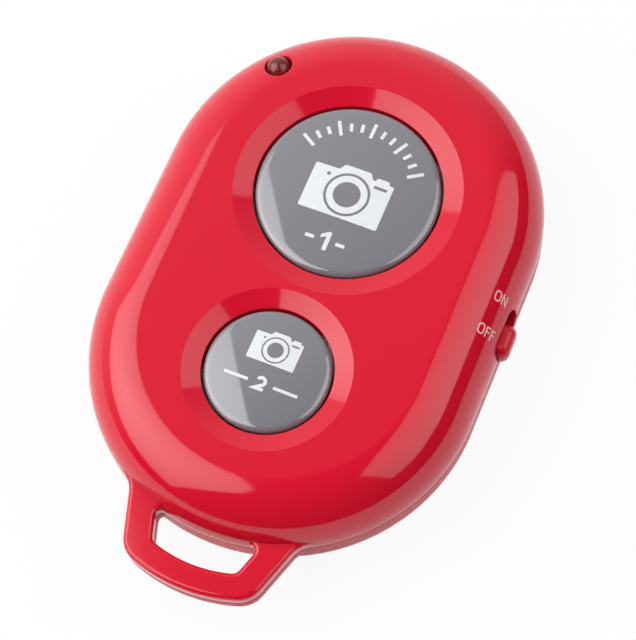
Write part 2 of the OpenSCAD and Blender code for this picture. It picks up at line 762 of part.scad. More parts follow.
module cell_cap() color("silver") translate([0, lid_y, lid_top + can_t])
    cylinder(r = cell_r - can_t - gasket_t - cell_fit, h = cell_t - can_t);

// Foot under the board, and a leg that bears on the can's side
module positive_contact() color("gold") {
    x = -(cell_r + cell_fit);
    translate([x - positive_foot, lid_y - positive_w / 2, board_z - contact_t])
        cube([positive_foot, positive_w, contact_t]);
    translate([x - contact_t, lid_y - positive_w / 2, tab_top + lid_gap])
        cube([contact_t, positive_w, board_z - tab_top - lid_gap]);
}

// Leaf with a foot under the board and a tongue that dips to the cell's cap
module negative_contact() color("gold") translate([0, lid_y + negative_w / 2, cell_top]) rotate([90, 0, 0])
    linear_extrude(negative_w) polygon([
        [-negative_l / 2, contact_space], [-negative_l / 2, contact_space - contact_t],
        [-negative_l / 4, contact_space - contact_t], [0, 0], [negative_l / 8, 0],
        [negative_l / 4, contact_space / 2], [negative_l / 4, contact_space / 2 + contact_t],
        [negative_l / 8, contact_t], [0, contact_t], [-negative_l / 4, contact_space]]);

module radio_chip() color("black")
    block(0, chip_y_share * board_l, board_z - radio_h, radio_w, radio_w, radio_h);

module memory_chip() color("black")
    block(memory_x_share * board_half, chip_y_share * board_l, board_z - memory_h,
          memory_w, memory_l, memory_h);

module crystal() color("silver")
    block(crystal_x_share * board_half, chip_y_share * board_l, board_z - crystal_h,
          crystal_w, crystal_l, crystal_h);

module chip_capacitors() color("tan") for (share = capacitor_x_shares)
    block(share * board_half, capacitor_y_share * board_l, board_z - capacitor_h, smd_w, smd_l, capacitor_h);

module chip_resistors() color("black") for (angle = resistor_angles) {
    place = near_end(lamp_inset, angle);
    block(place[0], place[1], board_z - resistor_h, smd_l, smd_w, resistor_h);
}

// Meander of copper on the board's face, at the loop end
module printed_antenna() color("peru") {
    step = 2 * track_w;
    rise = 5 * track_w;
    foot_y = -board_l + 3 * track_w;
    for (i = [0:track_bends - 1]) {
        x = (i - (track_bends - 1) / 2) * step;
        block(x, foot_y + rise / 2, board_top, track_w, rise, track_t);
        if (i < track_bends - 1)
            block(x + step / 2, foot_y + (i % 2) * (rise - track_w) + track_w / 2, board_top,
                  step + track_w, track_w, track_t);
    }
}

front_cover();
rear_cover();
battery_lid();
large_button();
small_button();
switch_knob();
indicator_lens();
indicator_legs();
circuit_board();
board_screws();
large_switch_base();
large_switch_leads();
large_switch_dome();
large_switch_plunger();
large_switch_cover();
small_switch_base();
small_switch_leads();
small_switch_dome();
small_switch_plunger();
small_switch_cover();
power_switch_base();
power_switch_case();
power_switch_slider();
power_switch_pins();
cell_can();
cell_gasket();
cell_cap();
positive_contact();
negative_contact();
radio_chip();
memory_chip();
crystal();
chip_capacitors();
chip_resistors();
printed_antenna();
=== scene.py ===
import math

import bpy
import numpy as np
from mathutils import Matrix, Vector
from mathutils.geometry import delaunay_2d_cdt


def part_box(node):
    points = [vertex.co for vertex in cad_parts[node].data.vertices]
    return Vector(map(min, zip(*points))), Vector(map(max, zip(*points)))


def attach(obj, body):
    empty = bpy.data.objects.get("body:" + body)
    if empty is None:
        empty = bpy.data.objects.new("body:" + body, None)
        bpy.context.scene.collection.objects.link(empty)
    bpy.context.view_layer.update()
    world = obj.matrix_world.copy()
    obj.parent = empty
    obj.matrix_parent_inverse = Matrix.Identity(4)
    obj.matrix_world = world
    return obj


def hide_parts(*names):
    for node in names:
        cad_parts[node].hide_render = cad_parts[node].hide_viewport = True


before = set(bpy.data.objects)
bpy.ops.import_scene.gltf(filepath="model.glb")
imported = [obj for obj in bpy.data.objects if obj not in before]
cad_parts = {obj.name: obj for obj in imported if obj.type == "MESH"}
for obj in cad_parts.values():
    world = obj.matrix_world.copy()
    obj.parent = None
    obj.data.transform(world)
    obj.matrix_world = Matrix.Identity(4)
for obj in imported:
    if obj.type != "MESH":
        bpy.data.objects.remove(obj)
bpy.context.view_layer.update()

# Front cover
# The face of the case, moulded in red ABS in a polished tool, so its flat, its shoulder and the two
# hollow rings mirror the lamps. A lip under its edge snaps into the rear cover, and the front half of
# the lanyard loop is moulded on.
MM = 0.001


def corners_of(node):
    """Lowest and highest corner of a node at rest, in millimetres."""
    low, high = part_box(node)
    return np.array(low) / MM, np.array(high) / MM


def unit(vectors):
    """Vectors of length 1, with a zero left as it is."""
    length = np.linalg.norm(vectors, axis=-1, keepdims=True)
    return vectors / np.where(length > 1e-12, length, 1)


def lift(flat, height):
    """Points of the plane at a height."""
    return np.column_stack([flat, np.broadcast_to(height, len(flat))])


def put(name, data):
    """A new object of the scene, at the origin."""
    made = bpy.data.objects.new(name, data)
    bpy.context.scene.collection.objects.link(made)
    return made


def declare(made, body, replaced=()):
    """Says which body a piece rides on and the CAD nodes that it replaces."""
    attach(made, body)
    if replaced:
        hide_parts(*replaced)
    return made


class Skin:
    """Faces with a normal at every corner, welded into one closed mesh. Where way is -1, the outside
    is under the plane that the faces were laid out on."""

    def __init__(self, way=1):
        self.way, self.points, self.normals, self.counts = way, [], [], []

    def add(self, points, normals):
        """Adds faces that have as many corners each, with a normal at every corner."""
        self.points.append(points.reshape(-1, 3))
        self.normals.append(normals.reshape(-1, 3))
        self.counts.append(np.full(len(points), points.shape[1]))

    def band(self, ring, following, normals=None, following_normals=None):
        """Faces between two rings of as many points. Without normals it is smooth along the ring."""
        if normals is None:
            ahead, ahead_following = np.roll(ring, -1, 0), np.roll(following, -1, 0)
            face = unit(np.cross(ahead_following - ring, ahead - following)) * self.way
            normals = following_normals = unit(face + np.roll(face, 1, 0))
        quads = [np.roll(ring, -1, 0), ring, following, np.roll(following, -1, 0)]
        tilts = [np.roll(normals, -1, 0), normals, following_normals, np.roll(following_normals, -1, 0)]
        self.add(np.stack(quads, 1), np.stack(tilts, 1))

    def rounded(self, start, corner, end, start_normals, steps=4):
        """Rings that round the edge at corner, from start to end."""
        last, last_normals = start, start_normals
        for t in np.linspace(0, 1, steps + 1)[1:]:
            ring = (1 - t) ** 2 * start + 2 * t * (1 - t) * corner + t * t * end
            slope = (1 - t) * (corner - start) + t * (end - corner)
            along = np.roll(ring, -1, 0) - np.roll(ring, 1, 0)
            normals = unit(np.cross(slope, along)) * self.way
            self.band(last, ring, last_normals, normals)
            last, last_normals = ring, normals

    def turned(self, path, runs):
        """Carries the runs of a section round a path, and returns the first and the last ring."""
        base, out = path
        first = None
        for radius, height, across, up in runs:
            rings = [lift(base + r * out, z) for r, z in zip(radius, height)]
            tilts = [lift(a * out, u) for a, u in zip(across, up)]
            for i in range(len(rings) - 1):
                self.band(rings[i], rings[i + 1], tilts[i], tilts[i + 1])
            first = rings[0] if first is None else first
        return first, rings[-1]

    def cap(self, rings, faces_way=1):
        """Flat face over the region that rings of one height bound."""
        loops = [ring[:, :2] for ring in rings]
        points = lift(np.vstack(loops), rings[0][0, 2])
        faces = fill(loops, np.zeros((0, 2)))[:, ::faces_way]
        self.add(points[faces], np.broadcast_to([0.0, 0.0, self.way * faces_way], (len(faces), 3, 3)))

    def block(self, outline, start, stop, rounding, steps=6):
        """Sides and far face of what rises from start to stop over an outline, rounded at its far edge."""
        flat, out = outline
        turn = np.radians(np.linspace(90, 0, steps))
        rings = [lift(flat - out * rounding * (1 - math.cos(a)),
                      stop - self.way * rounding * (1 - math.sin(a))) for a in turn]
        tilts = [lift(out * math.cos(a), self.way * math.sin(a)) for a in turn]
        self.cap([rings[0]])
        for i in range(len(rings) - 1):
            self.band(rings[i], rings[i + 1], tilts[i], tilts[i + 1])
        self.band(rings[-1], lift(flat, start), tilts[-1], tilts[-1])

    def laid_along_x(self):
        """Turns what was built along Z to lie along X, with its X along Y."""
        self.points = [np.roll(points, 1, axis=1) for points in self.points]
        self.normals = [np.roll(normals, 1, axis=1) for normals in self.normals]
        return self

    def piece(self, name, material, body, slot, replaced=()):
        """The mesh as a piece of the object that rides on a body."""
        points, normals = np.vstack(self.points), np.vstack(self.normals)
        keys = np.round(points / 1e-4).astype(np.int64)
        first, index = np.unique(keys, axis=0, return_index=True, return_inverse=True)[1:]
        index = index.reshape(-1)
        faces, kept, start = [], [], 0
        for count in np.concatenate(self.counts):
            places = [start + i for i in range(count) if index[start + i] != index[start + (i - 1) % count]]
            start += count
            if len(set(index[places])) > 2:
                places = places[::self.way]
                faces.append(index[places].tolist())
                kept += places
        mesh = bpy.data.meshes.new(name)
        mesh.from_pydata((points[first] * MM).tolist(), [], faces)
        mesh.shade_smooth()
        mesh.normals_split_custom_set(normals[kept].tolist())
        mesh.materials.append(material)
        return declare(put(name, mesh), body, replaced)


arc_step = 9


def arc_run(centre, r, start, stop, bulge=1):
    """Stretch of a section on an arc, between angles in degrees. bulge is -1 on a hollow."""
    turn = np.radians(np.linspace(start, stop, max(3, math.ceil(abs(stop - start) / arc_step)) + 1))
    cos, sin = np.cos(turn), np.sin(turn)
    return centre[0] + r * cos, centre[1] + r * sin, bulge * cos, bulge * sin


def line_run(*corners, side=1):
    """Straight stretches of a section from corner to corner, with the outside on the left of their way,
    or on the right where side is -1."""
    runs = []
    for start, stop in zip(corners, corners[1:]):
        across, up = side * unit(np.array([start[1] - stop[1], stop[0] - start[0]], float))
        runs.append(([start[0], stop[0]], [start[1], stop[1]], [across] * 2, [up] * 2))
    return runs


def circle_path(centre, count, way=1):
    """Middle and outward directions of the points round a circle."""
    turn = way * 2 * math.pi * np.arange(count) / count
    return np.tile(np.array(centre, float), (count, 1)), np.column_stack([np.cos(turn), np.sin(turn)])


def inside(points, loops):
    """Which points lie within the first loop and outside the holes that the others are."""
    within = np.zeros(len(points), bool)
    x, y = points[:, 0], points[:, 1]
    for loop in loops:
        for (ax, ay), (bx, by) in zip(loop, np.roll(loop, -1, 0)):
            if ay != by:
                within ^= ((ay > y) != (by > y)) & (x < ax + (y - ay) * (bx - ax) / (by - ay))
    return within


def clear_of(points, loops, gap):
    """The points that keep a distance from the points of all loops."""
    edge = np.vstack(loops)
    nearest = np.array([np.min(np.sum((edge - p) ** 2, axis=1)) for p in points])
    return points[nearest > gap * gap]


def fill(loops, more):
    """Triangles on the points of the loops and on more points, over the region that the loops bound."""
    points = np.vstack([*loops, more])
    edges, start = [], 0
    for loop in loops:
        edges += [(start + i, start + (i + 1) % len(loop)) for i in range(len(loop))]
        start += len(loop)
    made = delaunay_2d_cdt([Vector(p) for p in points], edges, [], 1, 1e-7, True)
    faces = np.array([ids[0] for ids in made[3]])[np.array(made[2])]
    faces = faces[inside(points[faces].mean(1), loops)]
    a, b, c = (points[faces[:, i]] for i in range(3))
    turned_over = (b - a)[:, 0] * (c - a)[:, 1] - (b - a)[:, 1] * (c - a)[:, 0] < 0
    faces[turned_over] = faces[turned_over][:, ::-1]
    return faces


front_low, front_high = corners_of("front_cover")
half_w = front_high[0]
end_y = front_high[1] - half_w
face_z = front_high[2]
seam_z = corners_of("rear_cover")[1][2]
shoulder_r = face_z - seam_z
wall = 1.2
lip_t = 0.5
lip_h = seam_z - front_low[2]
lip_gap = 0.1
edge_break = 0.12
face_step = 0.45
round_steps = 160


class Wall:
    """One side of a cover's wall: flat in the middle, an arc round the edge, and upright to the seam.
    Its plane is the side laid flat, with distances kept from the middle outwards."""

    def __init__(self, flat_r, edge_r, face, way):
        self.flat_r, self.edge_r, self.face, self.way = flat_r, edge_r, face, way
        self.upright = abs(face - seam_z) - edge_r

    def reach(self, height):
        """Distance from the middle, in the plane, of what lies at a height off the seam."""
        past = np.clip((height - self.upright) / self.edge_r, 0, 1)
        return self.flat_r + self.edge_r * np.arccos(past) + np.maximum(self.upright - height, 0)

    def radius(self, height):
        """Distance from the middle, in space, of what lies at a height off the seam."""
        past = np.clip((height - self.upright) / self.edge_r, 0, 1)
        return self.flat_r + self.edge_r * np.sqrt(1 - past * past)

    def flatten(self, points):
        """Where points of the wall lie in the plane."""
        spine = np.column_stack([0 * points[:, 1], np.clip(points[:, 1], -end_y, end_y)])
        out = points[:, :2] - spine
        radius = np.linalg.norm(out, axis=1)
        round_part = self.reach(self.way * (points[:, 2] - seam_z))
        return spine + unit(out) * np.where(radius < self.flat_r, radius, round_part)[:, None]

    def place(self, plane):
        """Where points of the plane lie on the wall, and the wall's normals there."""
        spine = np.column_stack([0 * plane[:, 1], np.clip(plane[:, 1], -end_y, end_y)])
        reach = np.linalg.norm(plane - spine, axis=1)
        out = unit(plane - spine)
        turn = np.clip((reach - self.flat_r) / self.edge_r, 0, math.pi / 2)
        below = np.maximum(reach - self.flat_r - self.edge_r * math.pi / 2, 0)
        radius = np.minimum(reach, self.flat_r) + self.edge_r * np.sin(turn)
        height = self.face - self.way * (self.edge_r * (1 - np.cos(turn)) + below)
        normals = np.column_stack([out * np.sin(turn)[:, None], self.way * np.cos(turn)])
        return np.column_stack([spine + out * radius[:, None], height]), normals


def case_path(step):
    """Middle and outward directions of points round the case, anticlockwise."""
    side = np.linspace(-end_y, end_y, math.ceil(2 * end_y / step), endpoint=False)
    turn = np.linspace(0, math.pi, math.ceil(math.pi * half_w / step), endpoint=False)
    spine = np.concatenate([side, 0 * turn + end_y, -side, 0 * turn - end_y])
    angle = np.concatenate([0 * side, turn, 0 * side + math.pi, turn + math.pi])
    return np.column_stack([0 * spine, spine]), np.column_stack([np.cos(angle), np.sin(angle)])


knob_low, knob_high = corners_of("switch_knob")
actuator_z = (knob_low[2] + knob_high[2]) / 2
slot_gap = 0.2
slot_ends = (-1.25, 3.25)
slot_corner_r = 1.1
slot_half_h = (knob_high[2] - knob_low[2]) / 2 + slot_gap
lipless = (-3.55, 5.55)


def cover_edge(skin, outer, inner, seat):
    """Carries a cover's edge from its outer side to its inner one. Each point of the seam and of the
    cover's half of the switch slot has a column; seat gives the rings between, as radius and height
    off the seam."""
    way = skin.way
    low, high = slot_ends
    rise = slot_half_h + way * (actuator_z - seam_z)
    corner_h = rise - slot_corner_r
    hair, rung, rung_room = 0.02, 0.3, 0.1
    end_steps, side_steps = 116, 32
    turn = np.radians(np.linspace(0, 90, 9))
    before = np.concatenate([np.linspace(-end_y, lipless[0] - hair, 9),
                             np.linspace(lipless[0], low - 3 * edge_break, 6)])
    after = np.concatenate([np.linspace(high + 3 * edge_break, lipless[1], 6),
                            np.linspace(lipless[1] + hair, end_y, 4, endpoint=False)])
    climb = np.arange(rung, corner_h - rung_room, rung)
    across = np.linspace(low + slot_corner_r, high - slot_corner_r, 10)[1:-1]

    def outline(grow, foot):
        r = slot_corner_r + grow
        bend = turn if corner_h > rung_room else turn[1:]
        left = [(low - grow, foot)] + [(low - grow, h) for h in climb]
        left += [(low + slot_corner_r - r * math.cos(a), corner_h + r * math.sin(a)) for a in bend]
        right = [(low + high - y, h) for y, h in left[::-1]]
        return np.array(left + [(y, rise + grow) for y in across] + right)

    sharp, start = outline(0, 0), outline(edge_break, edge_break)
    end_turn = np.linspace(0, math.pi, end_steps, endpoint=False)
    far = np.linspace(end_y, -end_y, side_steps, endpoint=False)
    angle = np.concatenate([0 * before, 0 * sharp[:, 0], 0 * after, end_turn, 0 * far + math.pi,
                            end_turn + math.pi])
    out = np.column_stack([np.cos(angle), np.sin(angle)])

    def column(slot_part):
        return np.concatenate([before, slot_part, after, 0 * end_turn + end_y, far, 0 * end_turn - end_y])

    spine, spine_start = column(sharp[:, 0]), column(start[:, 0])
    height, height_start = np.zeros(len(spine)), np.full(len(spine), edge_break)
    in_slot = slice(len(before), len(before) + len(sharp))
    height[in_slot], height_start[in_slot] = sharp[:, 1], start[:, 1]
    no_lip = (angle == 0) & (spine > lipless[0] - hair / 2) & (spine < lipless[1] + hair / 2)

    def ring(at, radius, level):
        flat = np.column_stack([0 * at, at]) + out * np.broadcast_to(radius, len(at))[:, None]
        return lift(flat, seam_z + way * np.broadcast_to(level, len(at)))

    plane = np.column_stack([0 * spine_start, spine_start]) + out * outer.reach(height_start)[:, None]
    first, first_normals = outer.place(plane)
    tucked = ring(spine, outer.radius(height) - edge_break, height)
    skin.rounded(first, ring(spine, outer.radius(height), height), tucked, first_normals)
    last = tucked
    for radius, level in seat(inner, height, no_lip):
        following = ring(spine, radius, level)
        skin.band(last, following)
        last = following
    return first, last


def close_wall(skin, outer, inner, carried, spacing):
    """Fills both sides of a wall between the rings where its edge and its openings start and end. The
    inner side, which isn't seen, has larger faces."""
    for side, faces_way, end, step in ((outer, 1, 0, spacing), (inner, -1, 1, 3 * spacing)):
        rings = [ring[end] for ring in carried]
        loops = [side.flatten(ring) for ring in rings]
        base, out = case_path(step)
        rows = np.arange(side.flat_r, side.reach(0), step * 0.8)
        more = np.vstack([base + out * row for row in rows])
        more = clear_of(more[inside(more, loops)], loops, step * 0.6)
        points, normals = side.place(np.vstack([*loops, more]))
        points[:sum(map(len, rings))] = np.vstack(rings)
        faces = fill(loops, more)[:, ::faces_way]
        skin.add(points[faces], faces_way * normals[faces])


large_low, large_high = corners_of("large_button")
small_low, small_high = corners_of("small_button")
flange_out = 0.9
large_r, small_r = large_high[0] - flange_out, small_high[0] - flange_out
large_at = np.array([0, (large_low[1] + large_high[1]) / 2])
small_at = np.array([0, (small_low[1] + small_high[1]) / 2])
button_gap = 0.2
large_dish_w, small_dish_w = 1.65, 1.55
dish_depth = 0.55
dish_round = 0.08
hole_round = 0.06
flange_t = 0.7
flange_gap = 0.1
guide_t = 1.0
guide_foot = large_low[2] + flange_t + flange_gap


def dish_section(hole_r, dish_w):
    """From the face down the sloping ring, through the hole and round its guide to the inner side."""
    slope = math.atan2(dish_depth, dish_w)
    lean = 90 + math.degrees(slope)
    brow = np.array([hole_r + dish_w + dish_round * math.tan(slope / 2), face_z - dish_round])
    rim_r = hole_r + hole_round
    across, up = -math.sin(slope), math.cos(slope)
    rim = np.array([rim_r, face_z - dish_depth + (hole_round * math.tan(slope)) - hole_round / up])
    normal = np.array([across, up])
    return [arc_run(brow, dish_round, 90, lean),
            *line_run(brow + dish_round * normal, rim + hole_round * normal, side=-1),
            arc_run(rim, hole_round, lean, 180),
            *line_run((hole_r, rim[1]), (hole_r, guide_foot), (hole_r + guide_t, guide_foot),
                      (hole_r + guide_t, face_z - wall), side=-1)]


lens_low, lens_high = corners_of("indicator_lens")
lamp_at = (lens_low[:2] + lens_high[:2]) / 2
lamp_hole_r = 1.18
lamp_round = 0.2
lamp_collar_t = 0.5
lamp_collar_r = lamp_hole_r + lamp_collar_t
flange_room = 0.4
lamp_seat = lens_low[2] + flange_room
lamp_steps = 72


def lamp_hole(skin, outer, inner):
    """Rings from the shoulder through the lamp's hole and round its collar to the inner side."""
    def on(side, r):
        flat = circle_path(lamp_at, lamp_steps, -1)
        points = flat[0] + flat[1] * r
        spine = np.column_stack([0 * points[:, 1], np.clip(points[:, 1], -end_y, end_y)])
        past = (np.linalg.norm(points - spine, axis=1) - side.flat_r) / side.edge_r
        past = np.clip(past, 0, 1)
        return lift(points, side.face - side.edge_r * (1 - np.sqrt(1 - past * past)))

    start = on(outer, lamp_hole_r + lamp_round)
    corner = on(outer, lamp_hole_r)
    end = corner - [0, 0, lamp_round]
    skin.rounded(start, corner, end, outer.place(outer.flatten(start))[1])
    foot, collar_foot = (lift(circle_path(lamp_at, lamp_steps, -1)[1] * r + lamp_at, lamp_seat)
                         for r in (lamp_hole_r, lamp_collar_r))
    last = on(inner, lamp_collar_r)
    for ring, following in ((end, foot), (foot, collar_foot), (collar_foot, last)):
        skin.band(ring, following)
    return start, last


def front_seat(inner, height, no_lip):
    """Rings of the parting face and the lip. Beside the switch slot there is no lip."""
    drop = np.where(no_lip, 0, lip_h)
    inner_r = inner.radius(height)
    return [(inner_r + lip_t, height), (inner_r + lip_t, height - drop), (inner_r, height - drop),
            (inner_r, height)]


front_outer = Wall(half_w - shoulder_r, shoulder_r, face_z, 1)
front_inner = Wall(half_w - shoulder_r, shoulder_r - wall, face_z - wall, 1)
front = Skin()
carried = [cover_edge(front, front_outer, front_inner, front_seat)]
for place, r, dish_w in ((large_at, large_r, large_dish_w), (small_at, small_r, small_dish_w)):
    carried.append(front.turned(circle_path(place, round_steps, -1), dish_section(r + button_gap, dish_w)))
carried.append(lamp_hole(front, front_outer, front_inner))
close_wall(front, front_outer, front_inner, carried, face_step)

loop_end_y = front_low[1]
loop_front_t = 1.3
loop_half_w = 6.1
loop_corner_r = 2.3
loop_bow_r = 14.0
loop_lean = math.radians(18)
loop_root_r = 2.5
loop_side_band, loop_end_band = 2.35, 2.15
loop_hole_corner_r = 0.7
loop_hole_root_r = 0.5
loop_round = 0.4
bow_at = np.array([0, loop_end_y + loop_bow_r])
case_end = np.array([0, -end_y])
side_normal = np.array([math.cos(loop_lean), -math.sin(loop_lean)])
side_along = np.array([math.sin(loop_lean), math.cos(loop_lean)])
corner_x = loop_half_w - loop_corner_r
corner_at = np.array([corner_x, bow_at[1] - math.sqrt((loop_bow_r - loop_corner_r) ** 2 - corner_x ** 2)])
side_reach = side_normal @ corner_at + loop_corner_r
hole_side = side_reach - loop_side_band
hole_bow_r = loop_bow_r - loop_end_band
root_sink = wall / 30
root_r = half_w - root_sink


def touching(centre, reach, distance):
    """Centre of a circle that touches the loop's side line and a circle about a centre."""
    across = reach - side_normal @ centre
    return centre + across * side_normal - math.sqrt(distance ** 2 - across ** 2) * side_along


def bearing(vector):
    """Direction of a vector of the plane, in degrees."""
    return math.degrees(math.atan2(vector[1], vector[0]))


root_at = touching(case_end, side_reach + loop_root_r, root_r + loop_root_r)
hole_root_at = touching(case_end, hole_side - loop_hole_root_r, root_r + loop_hole_root_r)
hole_corner_at = touching(bow_at, hole_side - loop_hole_corner_r, hole_bow_r - loop_hole_corner_r)
lean = math.degrees(loop_lean)


def loop_outline():
    """Points and outward directions round the loop, which is open where it runs into the case."""
    def stretch(centre, r, start, stop, bulge=1):
        steps = max(2, math.ceil(abs(stop - start) * r / arc_step / 2))
        turn = np.radians(np.linspace(start, stop, steps + 1))
        way = np.column_stack([np.cos(turn), np.sin(turn)])
        return np.hstack([centre + r * way, bulge * way])

    def sunk(centre, r):
        way = unit(case_end - centre)
        return np.hstack([centre + way * (r + wall / 2), [0, 0]])[None]

    outer_half = np.vstack([
        stretch(bow_at, loop_bow_r, -90, bearing(corner_at - bow_at)),
        stretch(corner_at, loop_corner_r, bearing(corner_at - bow_at), -lean)[1:],
        stretch(root_at, loop_root_r, 180 - lean, bearing(case_end - root_at), -1),
        sunk(root_at, loop_root_r)])
    inner_half = np.vstack([
        sunk(hole_root_at, loop_hole_root_r),
        stretch(hole_root_at, loop_hole_root_r, bearing(case_end - hole_root_at), -lean, -1),
        stretch(hole_corner_at, loop_hole_corner_r, -lean, bearing(hole_corner_at - bow_at), -1),
        stretch(bow_at, hole_bow_r, bearing(hole_corner_at - bow_at), -90, -1)[1:]])
    half = np.vstack([outer_half, inner_half])
    other = half[::-1] * [-1, 1, -1, 1]
    both = np.vstack([outer_half, inner_half[:-1], other[:len(inner_half)], other[len(inner_half):-1]])
    return both[:, :2], both[:, 2:]


def add_loop(skin, thickness):
    """Half of the lanyard loop: rounded on its open side, with a fine break at the parting line."""
    flat, out = loop_outline()
    foot_z = seam_z + skin.way * edge_break
    skin.block((flat, out), foot_z, seam_z + skin.way * thickness, loop_round)
    seam = lift(flat - out * edge_break, seam_z)
    skin.band(lift(flat, foot_z), seam)
    skin.cap([seam], faces_way=-1)


add_loop(front, loop_front_t)


def linear(colour):
    """Linear colour of an sRGB hex value."""
    parts = [int(colour[i:i + 2], 16) / 255 for i in (1, 3, 5)]
    return [c / 12.92 if c <= 0.04045 else ((c + 0.055) / 1.055) ** 2.4 for c in parts] + [1]


def add(tree, kind, inputs=None, **settings):
    """Adds a node with its settings. An input that is given a socket is linked to it, and one that is
    given a node to the node's first output."""
    made = tree.nodes.new(kind)
    for name, value in settings.items():
        setattr(made, name, value)
    for name, value in (inputs or {}).items():
        if isinstance(value, bpy.types.Node):
            value = value.outputs[0]
        if isinstance(value, bpy.types.NodeSocket):
            tree.links.new(value, made.inputs[name])
        else:
            made.inputs[name].default_value = value
    return made


def new_surface(name, **sockets):
    """A material with its Principled shader, whose constant sockets are given in words."""
    material = bpy.data.materials.new(name)
    material.use_nodes = True
    tree = material.node_tree
    shader = tree.nodes["Principled BSDF"]
    for socket, value in sockets.items():
        shader.inputs[socket.replace("_", " ")].default_value = value
    return material, tree, shader


def gloss_abs(name, colour, deeper, roughness=0.07, ior=1.54, **sockets):
    """ABS moulded in a polished tool. Its sheen is even but for a faint orange peel, and its colour
    is a little deeper in places where the melt flowed thick."""
    flow_size, haze_size, peel_size, peel_depth = 9 * MM, 0.8 * MM, 1.6 * MM, 0.02 * MM
    material, tree, shader = new_surface(name, IOR=ior, **sockets)
    at = add(tree, "ShaderNodeTexCoord").outputs["Object"]
    flow = add(tree, "ShaderNodeTexNoise", {"Vector": at, "Scale": 1 / flow_size, "Detail": 2.0})
    mix = add(tree, "ShaderNodeMix", {"Factor": flow.outputs["Fac"], "A": linear(colour),
                                      "B": linear(deeper)}, data_type="RGBA")
    tree.links.new(mix.outputs["Result"], shader.inputs["Base Color"])
    haze = add(tree, "ShaderNodeTexNoise", {"Vector": at, "Scale": 1 / haze_size, "Detail": 3.0})
    spread = add(tree, "ShaderNodeMapRange", {"Value": haze.outputs["Fac"], "To Min": roughness * 0.8,
                                             "To Max": roughness * 1.3})
    tree.links.new(spread.outputs["Result"], shader.inputs["Roughness"])
    peel = add(tree, "ShaderNodeTexNoise", {"Vector": at, "Scale": 1 / peel_size, "Detail": 1.0})
    bump = add(tree, "ShaderNodeBump", {"Height": peel.outputs["Fac"], "Strength": 0.02,
                                       "Distance": peel_depth})
    tree.links.new(bump.outputs["Normal"], shader.inputs["Normal"])
    return material


# A little light seeps through the red plastic, so that narrow gaps look dark red and not black.
seep = dict(Subsurface_Weight=0.3, Subsurface_Scale=0.8 * MM)
red_abs = gloss_abs("moulded_red_abs", "#DC1833", "#D81731", **seep)
front.piece("front_shell", red_abs, "case", "red_abs", ["front_cover"])

# Rear cover
# The back half of the case in red ABS, from a spark-eroded tool that leaves it satin. Its edge is round,
# its floor has the battery lid's hole with the ledge that the lid's tabs grip, and its rim takes the lip.
rear_edge_r = 4.0
lid_low, lid_high = corners_of("battery_lid")
lid_at = (lid_low[:2] + lid_high[:2]) / 2
lid_r = (lid_high[0] - lid_low[0]) / 2
lid_t = 0.8
lid_gap = 0.15
lid_hole_r = lid_r + lid_gap
lid_ledge_r = 10.75
lid_ledge_t = 0.7
ledge_z = lid_low[2] + lid_t + lid_gap / 3
ledge_top = ledge_z + lid_ledge_t
loop_rear_t = 1.4


def rear_seat(inner, height, no_lip):
    """Rings of the parting face and of the recess that takes the lip."""
    recess_r = half_w - wall / 2
    ledge = 0 * height + lip_h + lip_gap
    return [(recess_r, height), (recess_r, ledge), (inner.flat_r + inner.edge_r, ledge)]


rear_outer = Wall(half_w - rear_edge_r, rear_edge_r, 0, -1)
rear_inner = Wall(half_w - rear_edge_r, rear_edge_r - wall, wall, -1)
rear = Skin(-1)
carried = [cover_edge(rear, rear_outer, rear_inner, rear_seat)]
floor_run = [arc_run((lid_hole_r + hole_round, hole_round), hole_round, -90, -180),
             *line_run((lid_hole_r, hole_round), (lid_hole_r, ledge_z), (lid_ledge_r, ledge_z),
                       (lid_ledge_r, ledge_top), (lid_hole_r + lid_ledge_t, ledge_top),
                       (lid_hole_r + lid_ledge_t, wall))]
carried.append(rear.turned(circle_path(lid_at, round_steps, -1), floor_run))
close_wall(rear, rear_outer, rear_inner, carried, face_step)
add_loop(rear, loop_rear_t)
# The eroded surface spreads light, so the back mirrors nothing and stays an even, deeper red.
rear_abs = gloss_abs("eroded_red_abs", "#D0142C", "#CA122A", 0.35, 1.3, **seep)
rear.piece("rear_shell", rear_abs, "case", "red_abs", ["rear_cover"])

# Push buttons
# Two caps moulded in grey ABS, each with a slight crown, a rounded rim and a flange that keeps it in.
# Their hard clear coat makes them glossier than the case. A snap dome under the stem gives the click.
button_edge_r = 0.5
button_wall = 1.0
button_top = 0.8
button_drop = 0.85
stem_r = 1.4
plunger_top = large_low[2] + flange_t
turning_r = 5.0
weld = 0.0005
crisp_angle = 30
cap_steps, crown_steps = 192, 24
ink_over, ink_under = 0.012, 0.015


def group_input(tree, name, kind, value=None):
    """A named input of a Geometry Nodes tree. Returns its identifier."""
    made = tree.interface.new_socket(name=name, in_out="INPUT", socket_type=kind)
    if value is not None:
        made.default_value = value
    return made.identifier


def new_nodes(name):
    """A Geometry Nodes tree with its two geometry sockets."""
    tree = bpy.data.node_groups.new(name, "GeometryNodeTree")
    group_input(tree, "Geometry", "NodeSocketGeometry")
    tree.interface.new_socket(name="Geometry", in_out="OUTPUT", socket_type="NodeSocketGeometry")
    return tree


def grown(name, tree, settings, points=(), edges=()):
    """The plain mesh that a Geometry Nodes tree makes from points and edges. settings goes by the
    inputs' identifiers."""
    mesh = bpy.data.meshes.new(name)
    mesh.from_pydata(points, edges, [])
    seed = put(name, mesh)
    modifier = seed.modifiers.new(tree.name, "NODES")
    modifier.node_group = tree
    for identifier, value in settings.items():
        modifier[identifier] = value
    ready = seed.evaluated_get(bpy.context.evaluated_depsgraph_get())
    plain = bpy.data.meshes.new_from_object(ready)
    seed.modifiers.remove(modifier)
    seed.data = plain
    plain.name = name
    return seed


